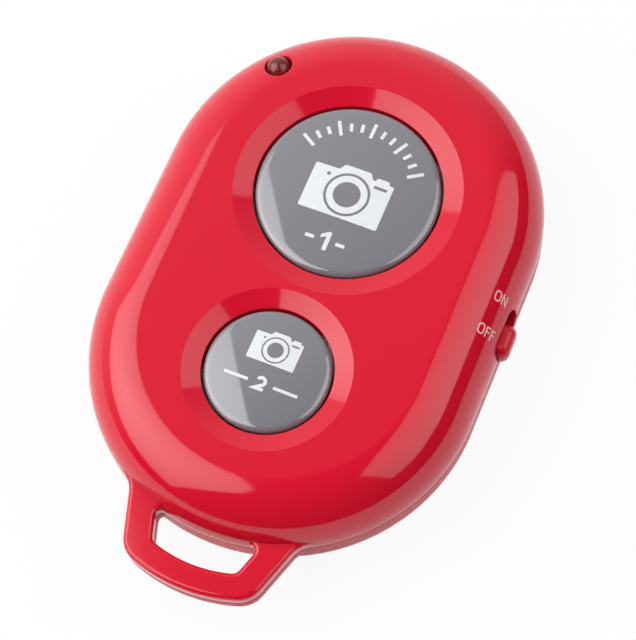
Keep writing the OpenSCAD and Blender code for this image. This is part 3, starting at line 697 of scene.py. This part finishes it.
lathe = new_nodes("turned_moulding")
group_input(lathe, "Turning Radius", "NodeSocketFloat", turning_r * MM)
lathe_middle = group_input(lathe, "Middle", "NodeSocketVector")
lathe_steps = group_input(lathe, "Steps", "NodeSocketInt", round_steps)
lathe_finish = group_input(lathe, "Finish", "NodeSocketMaterial")
given = add(lathe, "NodeGroupInput").outputs
section = add(lathe, "GeometryNodeMeshToCurve", {"Mesh": given["Geometry"]})
circle = add(lathe, "GeometryNodeCurvePrimitiveCircle", {"Resolution": given["Steps"],
                                                         "Radius": given["Turning Radius"]})
turned = add(lathe, "GeometryNodeCurveToMesh", {"Curve": circle.outputs["Curve"],
                                                "Profile Curve": section.outputs["Curve"]})
closed = add(lathe, "GeometryNodeMergeByDistance", {"Geometry": turned.outputs["Mesh"],
                                                    "Distance": weld * MM})
placed = add(lathe, "GeometryNodeSetPosition", {"Geometry": closed.outputs["Geometry"],
                                                "Offset": given["Middle"]})
single = add(lathe, "GeometryNodeRealizeInstances", {"Geometry": placed.outputs["Geometry"]})
coated = add(lathe, "GeometryNodeSetMaterial", {"Geometry": single.outputs["Geometry"],
                                                "Material": given["Finish"]})
add(lathe, "NodeGroupOutput", {"Geometry": coated.outputs["Geometry"]})


def turned_piece(name, runs, middle, steps, material, body, replaced=()):
    """A section turned round an upright axis, whose sharper edges stay crisp."""
    radius, height = (np.concatenate([run[i] for run in runs]) for i in (0, 1))
    keep = np.ones(len(radius), bool)
    keep[1:] = np.hypot(np.diff(radius), np.diff(height)) > weld / 5
    points = [((r - turning_r) * MM, -z * MM, 0) for r, z in zip(radius[keep], height[keep])]
    edges = [(i, i + 1) for i in range(len(points) - 1)]
    made = grown(name, lathe, {lathe_middle: (middle[0] * MM, middle[1] * MM, 0), lathe_steps: steps,
                               lathe_finish: material}, points, edges)
    made.data.shade_smooth()
    made.data.set_sharp_from_angle(angle=math.radians(crisp_angle))
    return declare(made, body, replaced)


# Plastic and coat each mirror the soft boxes, as a pale crescent at the left of each cap.
grey_abs = gloss_abs("coated_grey_abs", "#838389", "#7F7F86", 0.05, 1.66, Coat_Weight=1.0, Coat_IOR=1.65,
                     Coat_Roughness=0.03)
crowns = {}
for name, place, r, crown_z in (("large", large_at, large_r, large_high[2]),
                                ("small", small_at, small_r, small_high[2])):
    rim_r = r - button_edge_r
    crown = crown_z - ink_over - (face_z - button_drop + button_edge_r)
    dome_r = (rim_r ** 2 + crown ** 2) / (2 * crown)
    dome_z = crown_z - ink_over - dome_r
    rim_z = dome_z + math.sqrt((dome_r - button_edge_r) ** 2 - rim_r ** 2)
    rim_turn = math.degrees(math.atan2(rim_z - dome_z, rim_r))
    foot_z, flange_r = large_low[2], r + flange_out
    roof = crown_z - ink_over - crown - button_top
    crown_turn = np.radians(np.linspace(90, rim_turn, crown_steps))
    crowns[name] = (place, dome_r, dome_z)
    turned_piece(f"{name}_cap", [
        (dome_r * np.cos(crown_turn), dome_z + dome_r * np.sin(crown_turn)),
        arc_run((rim_r, rim_z), button_edge_r, rim_turn, 0),
        *line_run((r, rim_z), (r, plunger_top), (flange_r, plunger_top), (flange_r, foot_z),
                  (r - button_wall, foot_z), (r - button_wall, roof), (stem_r, roof), (stem_r, plunger_top),
                  (0, plunger_top))],
                 place, cap_steps, grey_abs, f"{name}_button", [f"{name}_button"])

# Prints
# White two-part ink, pad printed on the caps, with the knob's ON and OFF on the shoulder. The ink lies
# on the plastic as a film that is a little duller, and its edges are eased as a pad leaves them.
ink_step = 0.45
white_ink = gloss_abs("pad_printed_white_ink", "#E8EBF0", "#E2E5EB", 0.25, 1.5)
# The thin ink on the shoulder lets the red through, so that it looks a pale pink.
letter_ink = gloss_abs("pad_printed_pale_ink", "#FFC9C6", "#FBC3C0", 0.25, 1.5)


def on_crown(name):
    """Carries points of the plane, measured from the cap's middle, to its crown."""
    place, dome_r, dome_z = crowns[name]

    def carry(flat):
        height = np.sqrt(dome_r ** 2 - np.sum(flat ** 2, axis=1))
        normals = np.column_stack([flat, height]) / dome_r
        return lift(flat + place, dome_z + height), normals
    return carry


def eased(corners, r, steps=3):
    """Outline with its corners rounded off at a distance r."""
    corners = np.array(corners, float)
    points = []
    for before, corner, after in zip(np.roll(corners, 1, 0), corners, np.roll(corners, -1, 0)):
        reach = [min(r, np.linalg.norm(end - corner) * 0.49) for end in (before, after)]
        start = corner + reach[0] * unit(before - corner)
        end = corner + reach[1] * unit(after - corner)
        points += [(1 - t) ** 2 * start + 2 * t * (1 - t) * corner + t * t * end
                   for t in np.linspace(0, 1, steps + 1)]
    return np.array(points)


def circle_loop(x, y, r, count=40):
    """Outline of a disc."""
    turn = 2 * math.pi * np.arange(count) / count
    return np.column_stack([x + r * np.cos(turn), y + r * np.sin(turn)])


def stroke(line, width):
    """Outline of a line drawn with a pen of a width."""
    line = np.array(line, float)
    along = unit(np.diff(line, axis=0))
    ends = np.vstack([along[:1], along]), np.vstack([along, along[-1:]])
    side = unit(ends[0] + ends[1]) @ np.array([[0, 1], [-1, 0]])
    across = ends[0] @ np.array([[0, 1], [-1, 0]])
    side = side * (width / 2 / np.sum(side * across, axis=1))[:, None]
    return eased(np.vstack([line - side, (line + side)[::-1]]), width * 0.15)


def anticlockwise(loop, wanted=True):
    """The outline, turned over if it doesn't run the way that is wanted."""
    x, y = loop.T
    area = np.sum(x * np.roll(y, -1) - np.roll(x, -1) * y)
    return loop if (area > 0) == wanted else loop[::-1]


def split(loop, step):
    """The outline with points added, so that none of its edges is longer than a step."""
    edges = []
    for start, end in zip(loop, np.roll(loop, -1, 0)):
        count = max(1, math.ceil(np.linalg.norm(end - start) / step))
        edges.append(start + (end - start) * (np.arange(count) / count)[:, None])
    return np.vstack(edges)


def print_on(name, islands, carry, material, body, slot):
    """Film of ink over islands of the plane, each an outline with its holes."""
    film = Skin()
    for island in islands:
        loops = [anticlockwise(split(loop, ink_step), i == 0) for i, loop in enumerate(island)]
        low, high = loops[0].min(0), loops[0].max(0)
        grid = np.meshgrid(*(np.arange(a, b, ink_step) for a, b in zip(low, high)))
        more = np.column_stack([axis.ravel() for axis in grid])
        more = clear_of(more[inside(more, loops)], loops, ink_step * 0.4)
        faces = fill(loops, more)
        points, normals = carry(np.vstack([*loops, more]))
        over, under = points + ink_over * normals, points - ink_under * normals
        film.add(over[faces], normals[faces])
        film.add(under[faces[:, ::-1]], -normals[faces[:, ::-1]])
        start = 0
        for loop in loops:
            film.band(over[start:start + len(loop)], under[start:start + len(loop)])
            start += len(loop)
    film.piece(name, material, body, slot)


def camera_figure(x, y, scale):
    """Plain figure of a camera, 7 wide at scale 1."""
    body = eased([(-3.5, -2.1), (3.5, -2.1), (3.5, 2.1), (3.05, 2.1), (3.0, 2.42), (1.9, 2.42), (1.85, 2.1),
                  (1.6, 2.1), (1.25, 2.66), (-1.05, 2.66), (-1.4, 2.1), (-3.5, 2.1)], 0.15)
    dot = circle_loop(-2.1, 1.42, 0.17, 16)
    slot = eased([(1.9, 1.42), (3.05, 1.42), (3.05, 1.69), (1.9, 1.69)], 0.06)
    islands = [[body, circle_loop(0.04, 0.09, 1.97), dot, slot],
               [circle_loop(0.04, 0.09, 1.74), circle_loop(0.04, 0.09, 1.16)]]
    return [[loop * scale + [x, y] for loop in island] for island in islands]


def numeral_one(x, y, height, pen):
    """The numeral 1, standing on y."""
    stem, flag = x + 0.12 * height, x - 0.28 * height
    return [[eased([(stem - pen / 2, y), (stem + pen / 2, y), (stem + pen / 2, y + height),
                    (stem - pen / 3, y + height), (flag, y + 0.78 * height), (flag, y + 0.58 * height),
                    (stem - pen / 2, y + 0.74 * height)], pen * 0.15)]]


def numeral_two(x, y, height, pen):
    """The numeral 2, standing on y."""
    r = 0.27 * height
    turn = np.radians(np.linspace(160, -38, 12))
    bow = np.column_stack([x + r * np.cos(turn), y + height - pen / 2 - r + r * np.sin(turn)])
    foot = [(x - 1.1 * r, y + pen / 2), (x + 1.2 * r, y + pen / 2)]
    return [[stroke(np.vstack([bow, foot]), pen)]]


def dashes(y, inner, outer, pen):
    """A dash on each side of the middle."""
    return [[stroke([(side * inner, y), (side * outer, y)], pen)] for side in (-1, 1)]


figure_w, small_figure_w = 7.0, 4.1
large_figure = camera_figure(x=0.12, y=-0.68, scale=1)
large_mark = numeral_one(x=0, y=-5.85, height=1.65, pen=0.36)
large_dashes = dashes(y=-5.02, inner=0.95, outer=1.75, pen=0.3)
small_figure = camera_figure(x=0.0, y=1.64, scale=small_figure_w / figure_w)
small_mark = numeral_two(x=0, y=-1.95, height=1.25, pen=0.28)
small_dashes = dashes(y=-1.33, inner=1.1, outer=3.2, pen=0.26)
print_on("large_cap_print", large_figure + large_mark + large_dashes, on_crown("large"), white_ink,
         "large_button", "grey_abs")
print_on("small_cap_print", small_figure + small_mark + small_dashes, on_crown("small"), white_ink,
         "small_button", "grey_abs")


def letters(word, x, y, height, pen, gap):
    """Islands of the plain capitals of a word, from its left end at mid height."""
    islands, low, high = [], y - height / 2, y + height / 2
    for letter in word:
        if letter == "O":
            w = 0.72 * height
            frames = [[(x + d, low + d), (x + w - d, low + d), (x + w - d, high - d), (x + d, high - d)]
                      for d in (0, pen)]
            islands.append([eased(frames[0], 0.36 * height, 6), eased(frames[1], 0.27 * height, 6)])
        elif letter == "N":
            w, bevel = 0.66 * height, 1.75 * pen
            islands.append([eased([(x, low), (x + pen, low), (x + pen, high - bevel), (x + w - pen, low),
                                   (x + w, low), (x + w, high), (x + w - pen, high),
                                   (x + w - pen, low + bevel), (x + pen, high), (x, high)], pen * 0.15, 2)])
        else:
            w, bar = 0.5 * height, y - pen * 0.2
            islands.append([eased([(x, low), (x + pen, low), (x + pen, bar), (x + 0.88 * w, bar),
                                   (x + 0.88 * w, bar + pen), (x + pen, bar + pen), (x + pen, high - pen),
                                   (x + w, high - pen), (x + w, high), (x, high)], pen * 0.15, 2)])
        x += w + gap
    return islands


lettering = dict(height=0.96, pen=0.125, gap=0.15)
on_word = letters("ON", x=14.85, y=2.93, **lettering)
off_word = letters("OFF", x=14.5, y=-0.28, **lettering)
print_on("switch_lettering", on_word + off_word, front_outer.place, letter_ink, "case", "red_abs")

# Scale marks
# A plain scale of short marks along the large cap's upper edge, with every third one longer. They are
# pad printed with the same white ink as the figures.
long_every = 3
short_share, long_share = 0.65, 1.2
marks = new_nodes("marks_along_an_arc")
marks_middle = group_input(marks, "Middle", "NodeSocketVector")
marks_dome_r = group_input(marks, "Dome Radius", "NodeSocketFloat")
marks_arc_r = group_input(marks, "Arc Radius", "NodeSocketFloat")
marks_first = group_input(marks, "First Angle", "NodeSocketFloat")
marks_step = group_input(marks, "Angle Step", "NodeSocketFloat")
marks_count = group_input(marks, "Count", "NodeSocketInt")
marks_long = group_input(marks, "Mark Length", "NodeSocketFloat")
marks_wide = group_input(marks, "Mark Width", "NodeSocketFloat")
marks_thick = group_input(marks, "Ink", "NodeSocketFloat")
marks_finish = group_input(marks, "Finish", "NodeSocketMaterial")
given = add(marks, "NodeGroupInput").outputs
index = add(marks, "GeometryNodeInputIndex")
mark_turn = add(marks, "ShaderNodeMath", {0: index, 1: given["Angle Step"], 2: given["First Angle"]},
                operation="MULTIPLY_ADD")
lean_sine = add(marks, "ShaderNodeMath", {0: given["Arc Radius"], 1: given["Dome Radius"]},
                operation="DIVIDE")
mark_lean = add(marks, "ShaderNodeMath", {0: lean_sine}, operation="ARCSINE")
way = add(marks, "ShaderNodeCombineXYZ", {
    0: add(marks, "ShaderNodeMath", {0: mark_turn}, operation="COSINE"),
    1: add(marks, "ShaderNodeMath", {0: mark_turn}, operation="SINE"),
    2: add(marks, "ShaderNodeMath", {0: mark_lean}, operation="COSINE")})
reach = add(marks, "ShaderNodeCombineXYZ", {0: given["Arc Radius"], 1: given["Arc Radius"],
                                            2: given["Dome Radius"]})
spot = add(marks, "ShaderNodeVectorMath", {0: way, 1: reach, 2: given["Middle"]}, operation="MULTIPLY_ADD")
spots = add(marks, "GeometryNodePoints", {"Count": given["Count"], "Position": spot})
tilt = add(marks, "ShaderNodeCombineXYZ", {1: mark_lean, 2: mark_turn})
mark_size = add(marks, "ShaderNodeCombineXYZ", {0: given["Mark Length"], 1: given["Mark Width"],
                                                2: given["Ink"]})
mark = add(marks, "GeometryNodeMeshCube", {"Size": mark_size})
place_in_run = add(marks, "ShaderNodeMath", {0: index, 1: float(long_every)}, operation="MODULO")
is_long = add(marks, "ShaderNodeMath", {0: place_in_run, 1: 0.5}, operation="LESS_THAN")
share = add(marks, "ShaderNodeMath", {0: is_long, 1: long_share - short_share, 2: short_share},
            operation="MULTIPLY_ADD")
growth = add(marks, "ShaderNodeCombineXYZ", {0: share, 1: 1.0, 2: 1.0})
placed = add(marks, "GeometryNodeInstanceOnPoints", {"Points": spots, "Instance": mark, "Rotation": tilt,
                                                     "Scale": growth})
single = add(marks, "GeometryNodeRealizeInstances", {"Geometry": placed})
inked = add(marks, "GeometryNodeSetMaterial", {"Geometry": single, "Material": given["Finish"]})
add(marks, "NodeGroupOutput", {"Geometry": inked})

mark_r, mark_first, mark_last, mark_count = 5.75, 33.0, 147.0, 13
mark_l, mark_w = 1.2, 0.3
place, dome_r, dome_z = crowns["large"]
scale = grown("large_cap_scale", marks, {
    marks_middle: (place[0] * MM, place[1] * MM, (dome_z + (ink_over - ink_under) / 2) * MM),
    marks_dome_r: dome_r * MM, marks_arc_r: mark_r * MM, marks_first: math.radians(mark_first),
    marks_step: math.radians((mark_last - mark_first) / (mark_count - 1)), marks_count: mark_count,
    marks_long: mark_l * MM, marks_wide: mark_w * MM, marks_thick: (ink_over + ink_under) * MM,
    marks_finish: white_ink})
declare(scale, "large_button")

# Indicator lamp
# A light-emitting diode cast in dark red epoxy, with a flange behind the hole. The epoxy is clear; here its
# colour is painted shade, darker towards the middle of the dome, and its dome stands a little out of its
# hole in the shoulder.
lens_r = 1.12
lens_rise = 0.35
lens_z = lens_high[2] + lens_rise - lens_r
lens_flange_r = (lens_high[0] - lens_low[0]) / 2
lens_flange_t = 0.3
lens_steps = 64
# Size of the painted shade over the lens, in lens radii.
shade_reach = 1.1
red_epoxy, epoxy_tree, epoxy_shader = new_surface("cast_red_epoxy", IOR=1.55, Roughness=0.04)
at = add(epoxy_tree, "ShaderNodeTexCoord").outputs["Object"]
from_lens_middle = add(epoxy_tree, "ShaderNodeMapping", {
    "Vector": at, "Location": (lamp_at[0] * MM, lamp_at[1] * MM, lens_z * MM),
    "Scale": [lens_r * shade_reach * MM] * 3}, vector_type="TEXTURE")
# Painted shade: the base colour darkens from #7C2626 to #481416 towards the middle of the dome.
middle_shade = add(epoxy_tree, "ShaderNodeTexGradient", {"Vector": from_lens_middle.outputs[0]}, gradient_type="SPHERICAL")
painted_shade_tint = add(epoxy_tree, "ShaderNodeMix", {"Factor": middle_shade.outputs["Fac"], "A": linear("#7C2626"),
                                         "B": linear("#481416")}, data_type="RGBA")
epoxy_tree.links.new(painted_shade_tint.outputs["Result"], epoxy_shader.inputs["Base Color"])
turned_piece("lamp_lens", [
    arc_run((0, lens_z), lens_r, 90, 0),
    *line_run((lens_r, lens_z), (lens_r, lens_low[2] + lens_flange_t),
              (lens_flange_r, lens_low[2] + lens_flange_t), (lens_flange_r, lens_low[2]), (0, lens_low[2]))],
             lamp_at, lens_steps, red_epoxy, "case", ["indicator_lens"])

# Power switch knob
# A small red ABS block that slides in the slot in the case's side. Its tool isn't polished, so its sheen
# is soft. A plate behind it keeps it in.
knob_round = 0.7
knob_corner_r = 1.0
knob_l = 3.0
keeper_t = 0.3
keeper_corner_r = 0.1


def block_outline(half_l, half_h, r, middle):
    """Points and outward directions round a bar with rounded corners, in Y and Z."""
    turn = np.radians(np.arange(0, 360, arc_step) + arc_step / 2)
    out = np.column_stack([np.cos(turn), np.sin(turn)])
    return middle + np.sign(out) * [half_l - r, half_h - r] + r * out, out


knob_at = np.array([(knob_low[1] + knob_high[1]) / 2, actuator_z])
knob_half_h = (knob_high[2] - knob_low[2]) / 2
keeper_half_l = (knob_high[1] - knob_low[1]) / 2
knob = Skin()
for half_l, corner_r, x_low, x_high, rounding in (
        (knob_l / 2, knob_corner_r, knob_low[0] + keeper_t / 2, knob_high[0], knob_round),
        (keeper_half_l, keeper_corner_r, knob_low[0], knob_low[0] + keeper_t, keeper_corner_r / 2)):
    outline = block_outline(half_l, knob_half_h, corner_r, knob_at)
    knob.block(outline, x_low, x_high, rounding, 7)
    knob.cap([lift(outline[0], x_low)], faces_way=-1)
knob_abs = gloss_abs("satin_red_abs", "#D41830", "#CE162D", 0.25, 1.45, **seep)
knob.laid_along_x().piece("switch_slider_knob", knob_abs, "power_switch", "red_abs", ["switch_knob"])

# Battery lid
# A red ABS disc with a slot for a coin, which turns it in its bayonet. A collar behind it goes round
# the cell, and it has the rear cover's satin finish.
coin_half_l, coin_half_w, coin_depth = 5.0, 0.9, 0.35
collar_in, collar_out = 10.15, 10.6
collar_top = lid_high[2]
lid_round = 0.2
lid_z, lid_top = lid_low[2], lid_low[2] + lid_t
lid = Skin(-1)
disc_first = lid.turned(circle_path(lid_at, round_steps), [
    arc_run((lid_r - lid_round, lid_z + lid_round), lid_round, -90, 0),
    *line_run((lid_r, lid_z + lid_round), (lid_r, lid_top), (collar_out, lid_top), (collar_out, collar_top),
              (collar_in, collar_top), (collar_in, lid_top), (0, lid_top), side=-1)])[0]
turn = -np.radians(np.arange(0, 360, arc_step) + arc_step / 2)
slot_out = np.column_stack([np.cos(turn), np.sin(turn)])
slot_r = coin_half_w - 0.02
slot_flat = lid_at + np.sign(slot_out) * [coin_half_l - slot_r, coin_half_w - slot_r] + slot_r * slot_out
slot_start = lift(slot_flat + slot_out * edge_break, lid_z)
slot_corner, slot_end = lift(slot_flat, lid_z), lift(slot_flat, lid_z + edge_break)
lid.rounded(slot_start, slot_corner, slot_end, np.broadcast_to([0.0, 0.0, -1.0], slot_start.shape))
slot_floor = lift(slot_flat, lid_z + coin_depth)
lid.band(slot_end, slot_floor)
lid.cap([slot_floor[::-1]])
lid.cap([disc_first, slot_start])
lid.piece("coin_lid", rear_abs, "battery_lid", "red_abs", ["battery_lid"])

# Circuit board
# Glass fibre laminate under green solder mask, through which its weave just shows. The threads, which
# are 0.5 mm apart, are drawn three times as coarse so that they show. Its antenna is an etched copper
# track, left bare and matt.
grain_depth = 0.02 * MM


def finish(nodes, material):
    """Gives CAD nodes a material."""
    for node in nodes:
        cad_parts[node].data.materials.clear()
        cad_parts[node].data.materials.append(material)


def grained(name, colour, other, size, stretch=(1, 1, 1), bump=0.0, **sockets):
    """A surface whose colour and height vary with a noise of a grain size in millimetres."""
    material, tree, shader = new_surface(name, **sockets)
    at = add(tree, "ShaderNodeTexCoord").outputs["Object"]
    grain_at = add(tree, "ShaderNodeMapping", {"Vector": at, "Scale": stretch})
    grain = add(tree, "ShaderNodeTexNoise", {"Vector": grain_at.outputs[0], "Scale": 1 / (size * MM),
                                             "Detail": 4.0})
    mix = add(tree, "ShaderNodeMix", {"Factor": grain.outputs["Fac"], "A": linear(colour),
                                      "B": linear(other)}, data_type="RGBA")
    tree.links.new(mix.outputs["Result"], shader.inputs["Base Color"])
    raised = add(tree, "ShaderNodeBump", {"Height": grain.outputs["Fac"], "Strength": bump,
                                         "Distance": grain_depth})
    tree.links.new(raised.outputs["Normal"], shader.inputs["Normal"])
    return material, tree, shader, at


solder_mask, mask_tree, mask_shader, at = grained("solder_mask_on_laminate", "#1F6B3A", "#1A5C33", 1.5,
                                                  Roughness=0.3, IOR=1.55)
wave_length = math.pi / 10
thread_pitch, coarser = 0.5 * MM, math.pi
weave = [add(mask_tree, "ShaderNodeTexWave", {"Vector": at, "Scale": wave_length / (coarser * thread_pitch)},
             bands_direction=axis).outputs["Fac"] for axis in "XY"]
thread = add(mask_tree, "ShaderNodeMath", {0: weave[0], 1: weave[1]}, operation="MULTIPLY")
pressed = add(mask_tree, "ShaderNodeBump", {"Height": thread.outputs[0], "Strength": 0.2,
                                           "Distance": grain_depth})
mask_tree.links.new(pressed.outputs["Normal"], mask_shader.inputs["Normal"])
finish(["circuit_board"], solder_mask)
finish(["printed_antenna"], grained("etched_copper", "#C9773F", "#B9683A", 0.3, Metallic=1.0,
                                    Roughness=0.38)[0])

# Parts on the board
# Switch bases, chips and plungers are moulded in glass-filled nylon or epoxy, black and matt. Hot tinned
# leads are bright and a little uneven, rolled steel keeps fine streaks under its zinc plate, and fired
# ceramic capacitors are a dull brown.
finish(["large_switch_base", "large_switch_plunger", "small_switch_base", "small_switch_plunger",
        "power_switch_base", "power_switch_slider", "radio_chip", "memory_chip", "chip_resistors"],
       grained("moulded_black_nylon", "#19191B", "#222225", 0.15, bump=0.3, Roughness=0.55)[0])
finish(["indicator_legs", "large_switch_leads", "small_switch_leads", "power_switch_pins"],
       grained("hot_tinned_copper", "#C4C4C0", "#A9A9A6", 0.4, bump=0.2, Metallic=1.0, Roughness=0.3)[0])
finish(["board_screws", "large_switch_dome", "large_switch_cover", "small_switch_dome",
        "small_switch_cover", "power_switch_case", "crystal"],
       grained("rolled_zinc_plated_steel", "#BEBEBD", "#A8A8AA", 0.12, (1, 12, 1), 0.15, Metallic=1.0,
               Roughness=0.32)[0])
finish(["chip_capacitors"], grained("fired_ceramic", "#8A6A48", "#7A5C3E", 0.2, bump=0.2, Roughness=0.5)[0])

# Coin cell and its contacts
# The can and the cap are nickel-plated steel with fine streaks from polishing, and a black nylon gasket
# between them. The contacts are springs of plated bronze, with a warm tone.
finish(["cell_can", "cell_cap"],
       grained("polished_nickel_plate", "#C8C6C2", "#B4B2AF", 0.1, (10, 1, 1), 0.1, Metallic=1.0,
               Roughness=0.22)[0])
finish(["cell_gasket"], grained("moulded_nylon_gasket", "#2B2B2D", "#232325", 0.2, bump=0.1,
                                Roughness=0.45)[0])
finish(["positive_contact", "negative_contact"],
       grained("plated_spring_bronze", "#C9A15A", "#B78F4D", 0.15, (1, 8, 1), 0.1, Metallic=1.0,
               Roughness=0.28)[0])

# Floor, lamps and camera
# A white table top, and two soft boxes that are brightest in their middle, as such lamps are, in a dim
# room that is lighter on the side away from the loop. The camera stands where the photograph's did.
floor_half = 3.0
floor_share = 0.92
floor_mesh = bpy.data.meshes.new("table_top")
floor_corners = [(-floor_half, -floor_half, 0), (floor_half, -floor_half, 0), (floor_half, floor_half, 0),
                 (-floor_half, floor_half, 0)]
floor_mesh.from_pydata(floor_corners, [], [(0, 1, 2, 3)])
white_table, table_tree, table_shader = new_surface("white_table", Roughness=0.9,
                                                    Base_Color=linear("#F2F2F2"))
path = add(table_tree, "ShaderNodeLightPath").outputs
seen = add(table_tree, "ShaderNodeMath", {0: path["Is Camera Ray"], 1: path["Is Glossy Ray"]},
           operation="MAXIMUM")
seen = add(table_tree, "ShaderNodeMath", {0: seen.outputs[0], 1: path["Is Transmission Ray"]},
           operation="MAXIMUM")
seen = add(table_tree, "ShaderNodeMath", {0: seen.outputs[0], 1: floor_share}, operation="MULTIPLY")
white = add(table_tree, "ShaderNodeEmission", {"Strength": 1.0})
table_mix = add(table_tree, "ShaderNodeMixShader", {0: seen.outputs[0], 1: table_shader.outputs[0],
                                                    2: white.outputs[0]})
table_tree.links.new(table_mix.outputs[0], table_tree.nodes["Material Output"].inputs["Surface"])
floor_mesh.materials.append(white_table)
put("table_top", floor_mesh)

lamp_distance = 0.6


def towards(lean_x, lean_y):
    """Direction that leans from straight up by degrees towards +X and +Y."""
    lean, turn = math.radians(math.hypot(lean_x, lean_y)), math.atan2(lean_y, lean_x)
    return Vector((math.sin(lean) * math.cos(turn), math.sin(lean) * math.sin(turn), math.cos(lean)))


def soft_box(name, corners, brightest, reach, hot, edge):
    """Lamp with a diffuser whose corners lie in directions from the object. Its radiance falls from hot
    at its brightest place to edge at a distance of reach."""
    ways = [towards(*corner) for corner in corners]
    facing = sum(ways, Vector()).normalized()
    places = [way * lamp_distance / way.dot(facing) for way in ways]
    mesh = bpy.data.meshes.new(name)
    mesh.from_pydata(places, [], [range(len(places))])
    material = bpy.data.materials.new(name)
    material.use_nodes = True
    tree = material.node_tree
    tree.nodes.clear()
    middle = towards(*brightest)
    at = add(tree, "ShaderNodeTexCoord").outputs["Object"]
    from_middle = add(tree, "ShaderNodeMapping", {
        "Vector": at, "Location": middle * lamp_distance / middle.dot(facing), "Scale": [reach] * 3},
                      vector_type="TEXTURE")
    fall = add(tree, "ShaderNodeTexGradient", {"Vector": from_middle.outputs[0]}, gradient_type="SPHERICAL")
    level = add(tree, "ShaderNodeMapRange", {"Value": fall.outputs["Fac"], "To Min": edge, "To Max": hot})
    glow = add(tree, "ShaderNodeEmission", {"Strength": level.outputs[0]})
    add(tree, "ShaderNodeOutputMaterial", {"Surface": glow.outputs[0]})
    mesh.materials.append(material)
    lamp = put(name, mesh)
    lamp.visible_camera = False


soft_box("left_soft_box", [(-67, 10), (-27, 26), (-11, 2), (-4, -19), (-5, -29), (-37, -66), (-63, -37),
                           (-69, -10)], (-46, -12), 0.5, 4.0, 1.8)
soft_box("right_soft_box", [(4, 27), (38, 55), (57, 30), (62, 5), (63, -12), (58, -24), (24, -13),
                            (3, 14)], (50, 25), 0.75, 2.1, 0.75)

lighter_side = (-0.75, 0.66, 0.0)
world = bpy.data.worlds.new("studio")
bpy.context.scene.world = world
world.use_nodes = True
room = world.node_tree
way = add(room, "ShaderNodeTexCoord").outputs["Generated"]
share = add(room, "ShaderNodeVectorMath", {0: way, 1: lighter_side}, operation="DOT_PRODUCT")
level = add(room, "ShaderNodeMapRange", {"Value": share.outputs["Value"], "From Min": 0.1, "To Max": 0.95})
room.links.new(level.outputs[0], room.nodes["Background"].inputs["Strength"])
room.nodes["Background"].inputs["Color"].default_value = (1, 1, 1, 1)

focal_px, frame_px = 1800, 636
azimuth, elevation, roll = (math.radians(a) for a in (-31.87, 68.04, -9.97))
camera_at = Vector((30.954, -50.919, 145.266)) * MM
camera_data = bpy.data.cameras.new("camera")
camera_data.sensor_fit = "HORIZONTAL"
camera_data.sensor_width = 36
camera_data.lens = camera_data.sensor_width * focal_px / frame_px
camera = put("camera", camera_data)
back = Vector((-math.sin(azimuth) * math.cos(elevation), -math.cos(azimuth) * math.cos(elevation),
               math.sin(elevation)))
level_way = Vector((0, 0, 1)).cross(back).normalized()
upward = back.cross(level_way)
right = math.cos(roll) * level_way + math.sin(roll) * upward
top = -math.sin(roll) * level_way + math.cos(roll) * upward
camera.matrix_world = Matrix.Translation(camera_at) @ Matrix((right, top, back)).transposed().to_4x4()
bpy.context.scene.camera = camera
bpy.context.scene.view_settings.view_transform = "Standard"
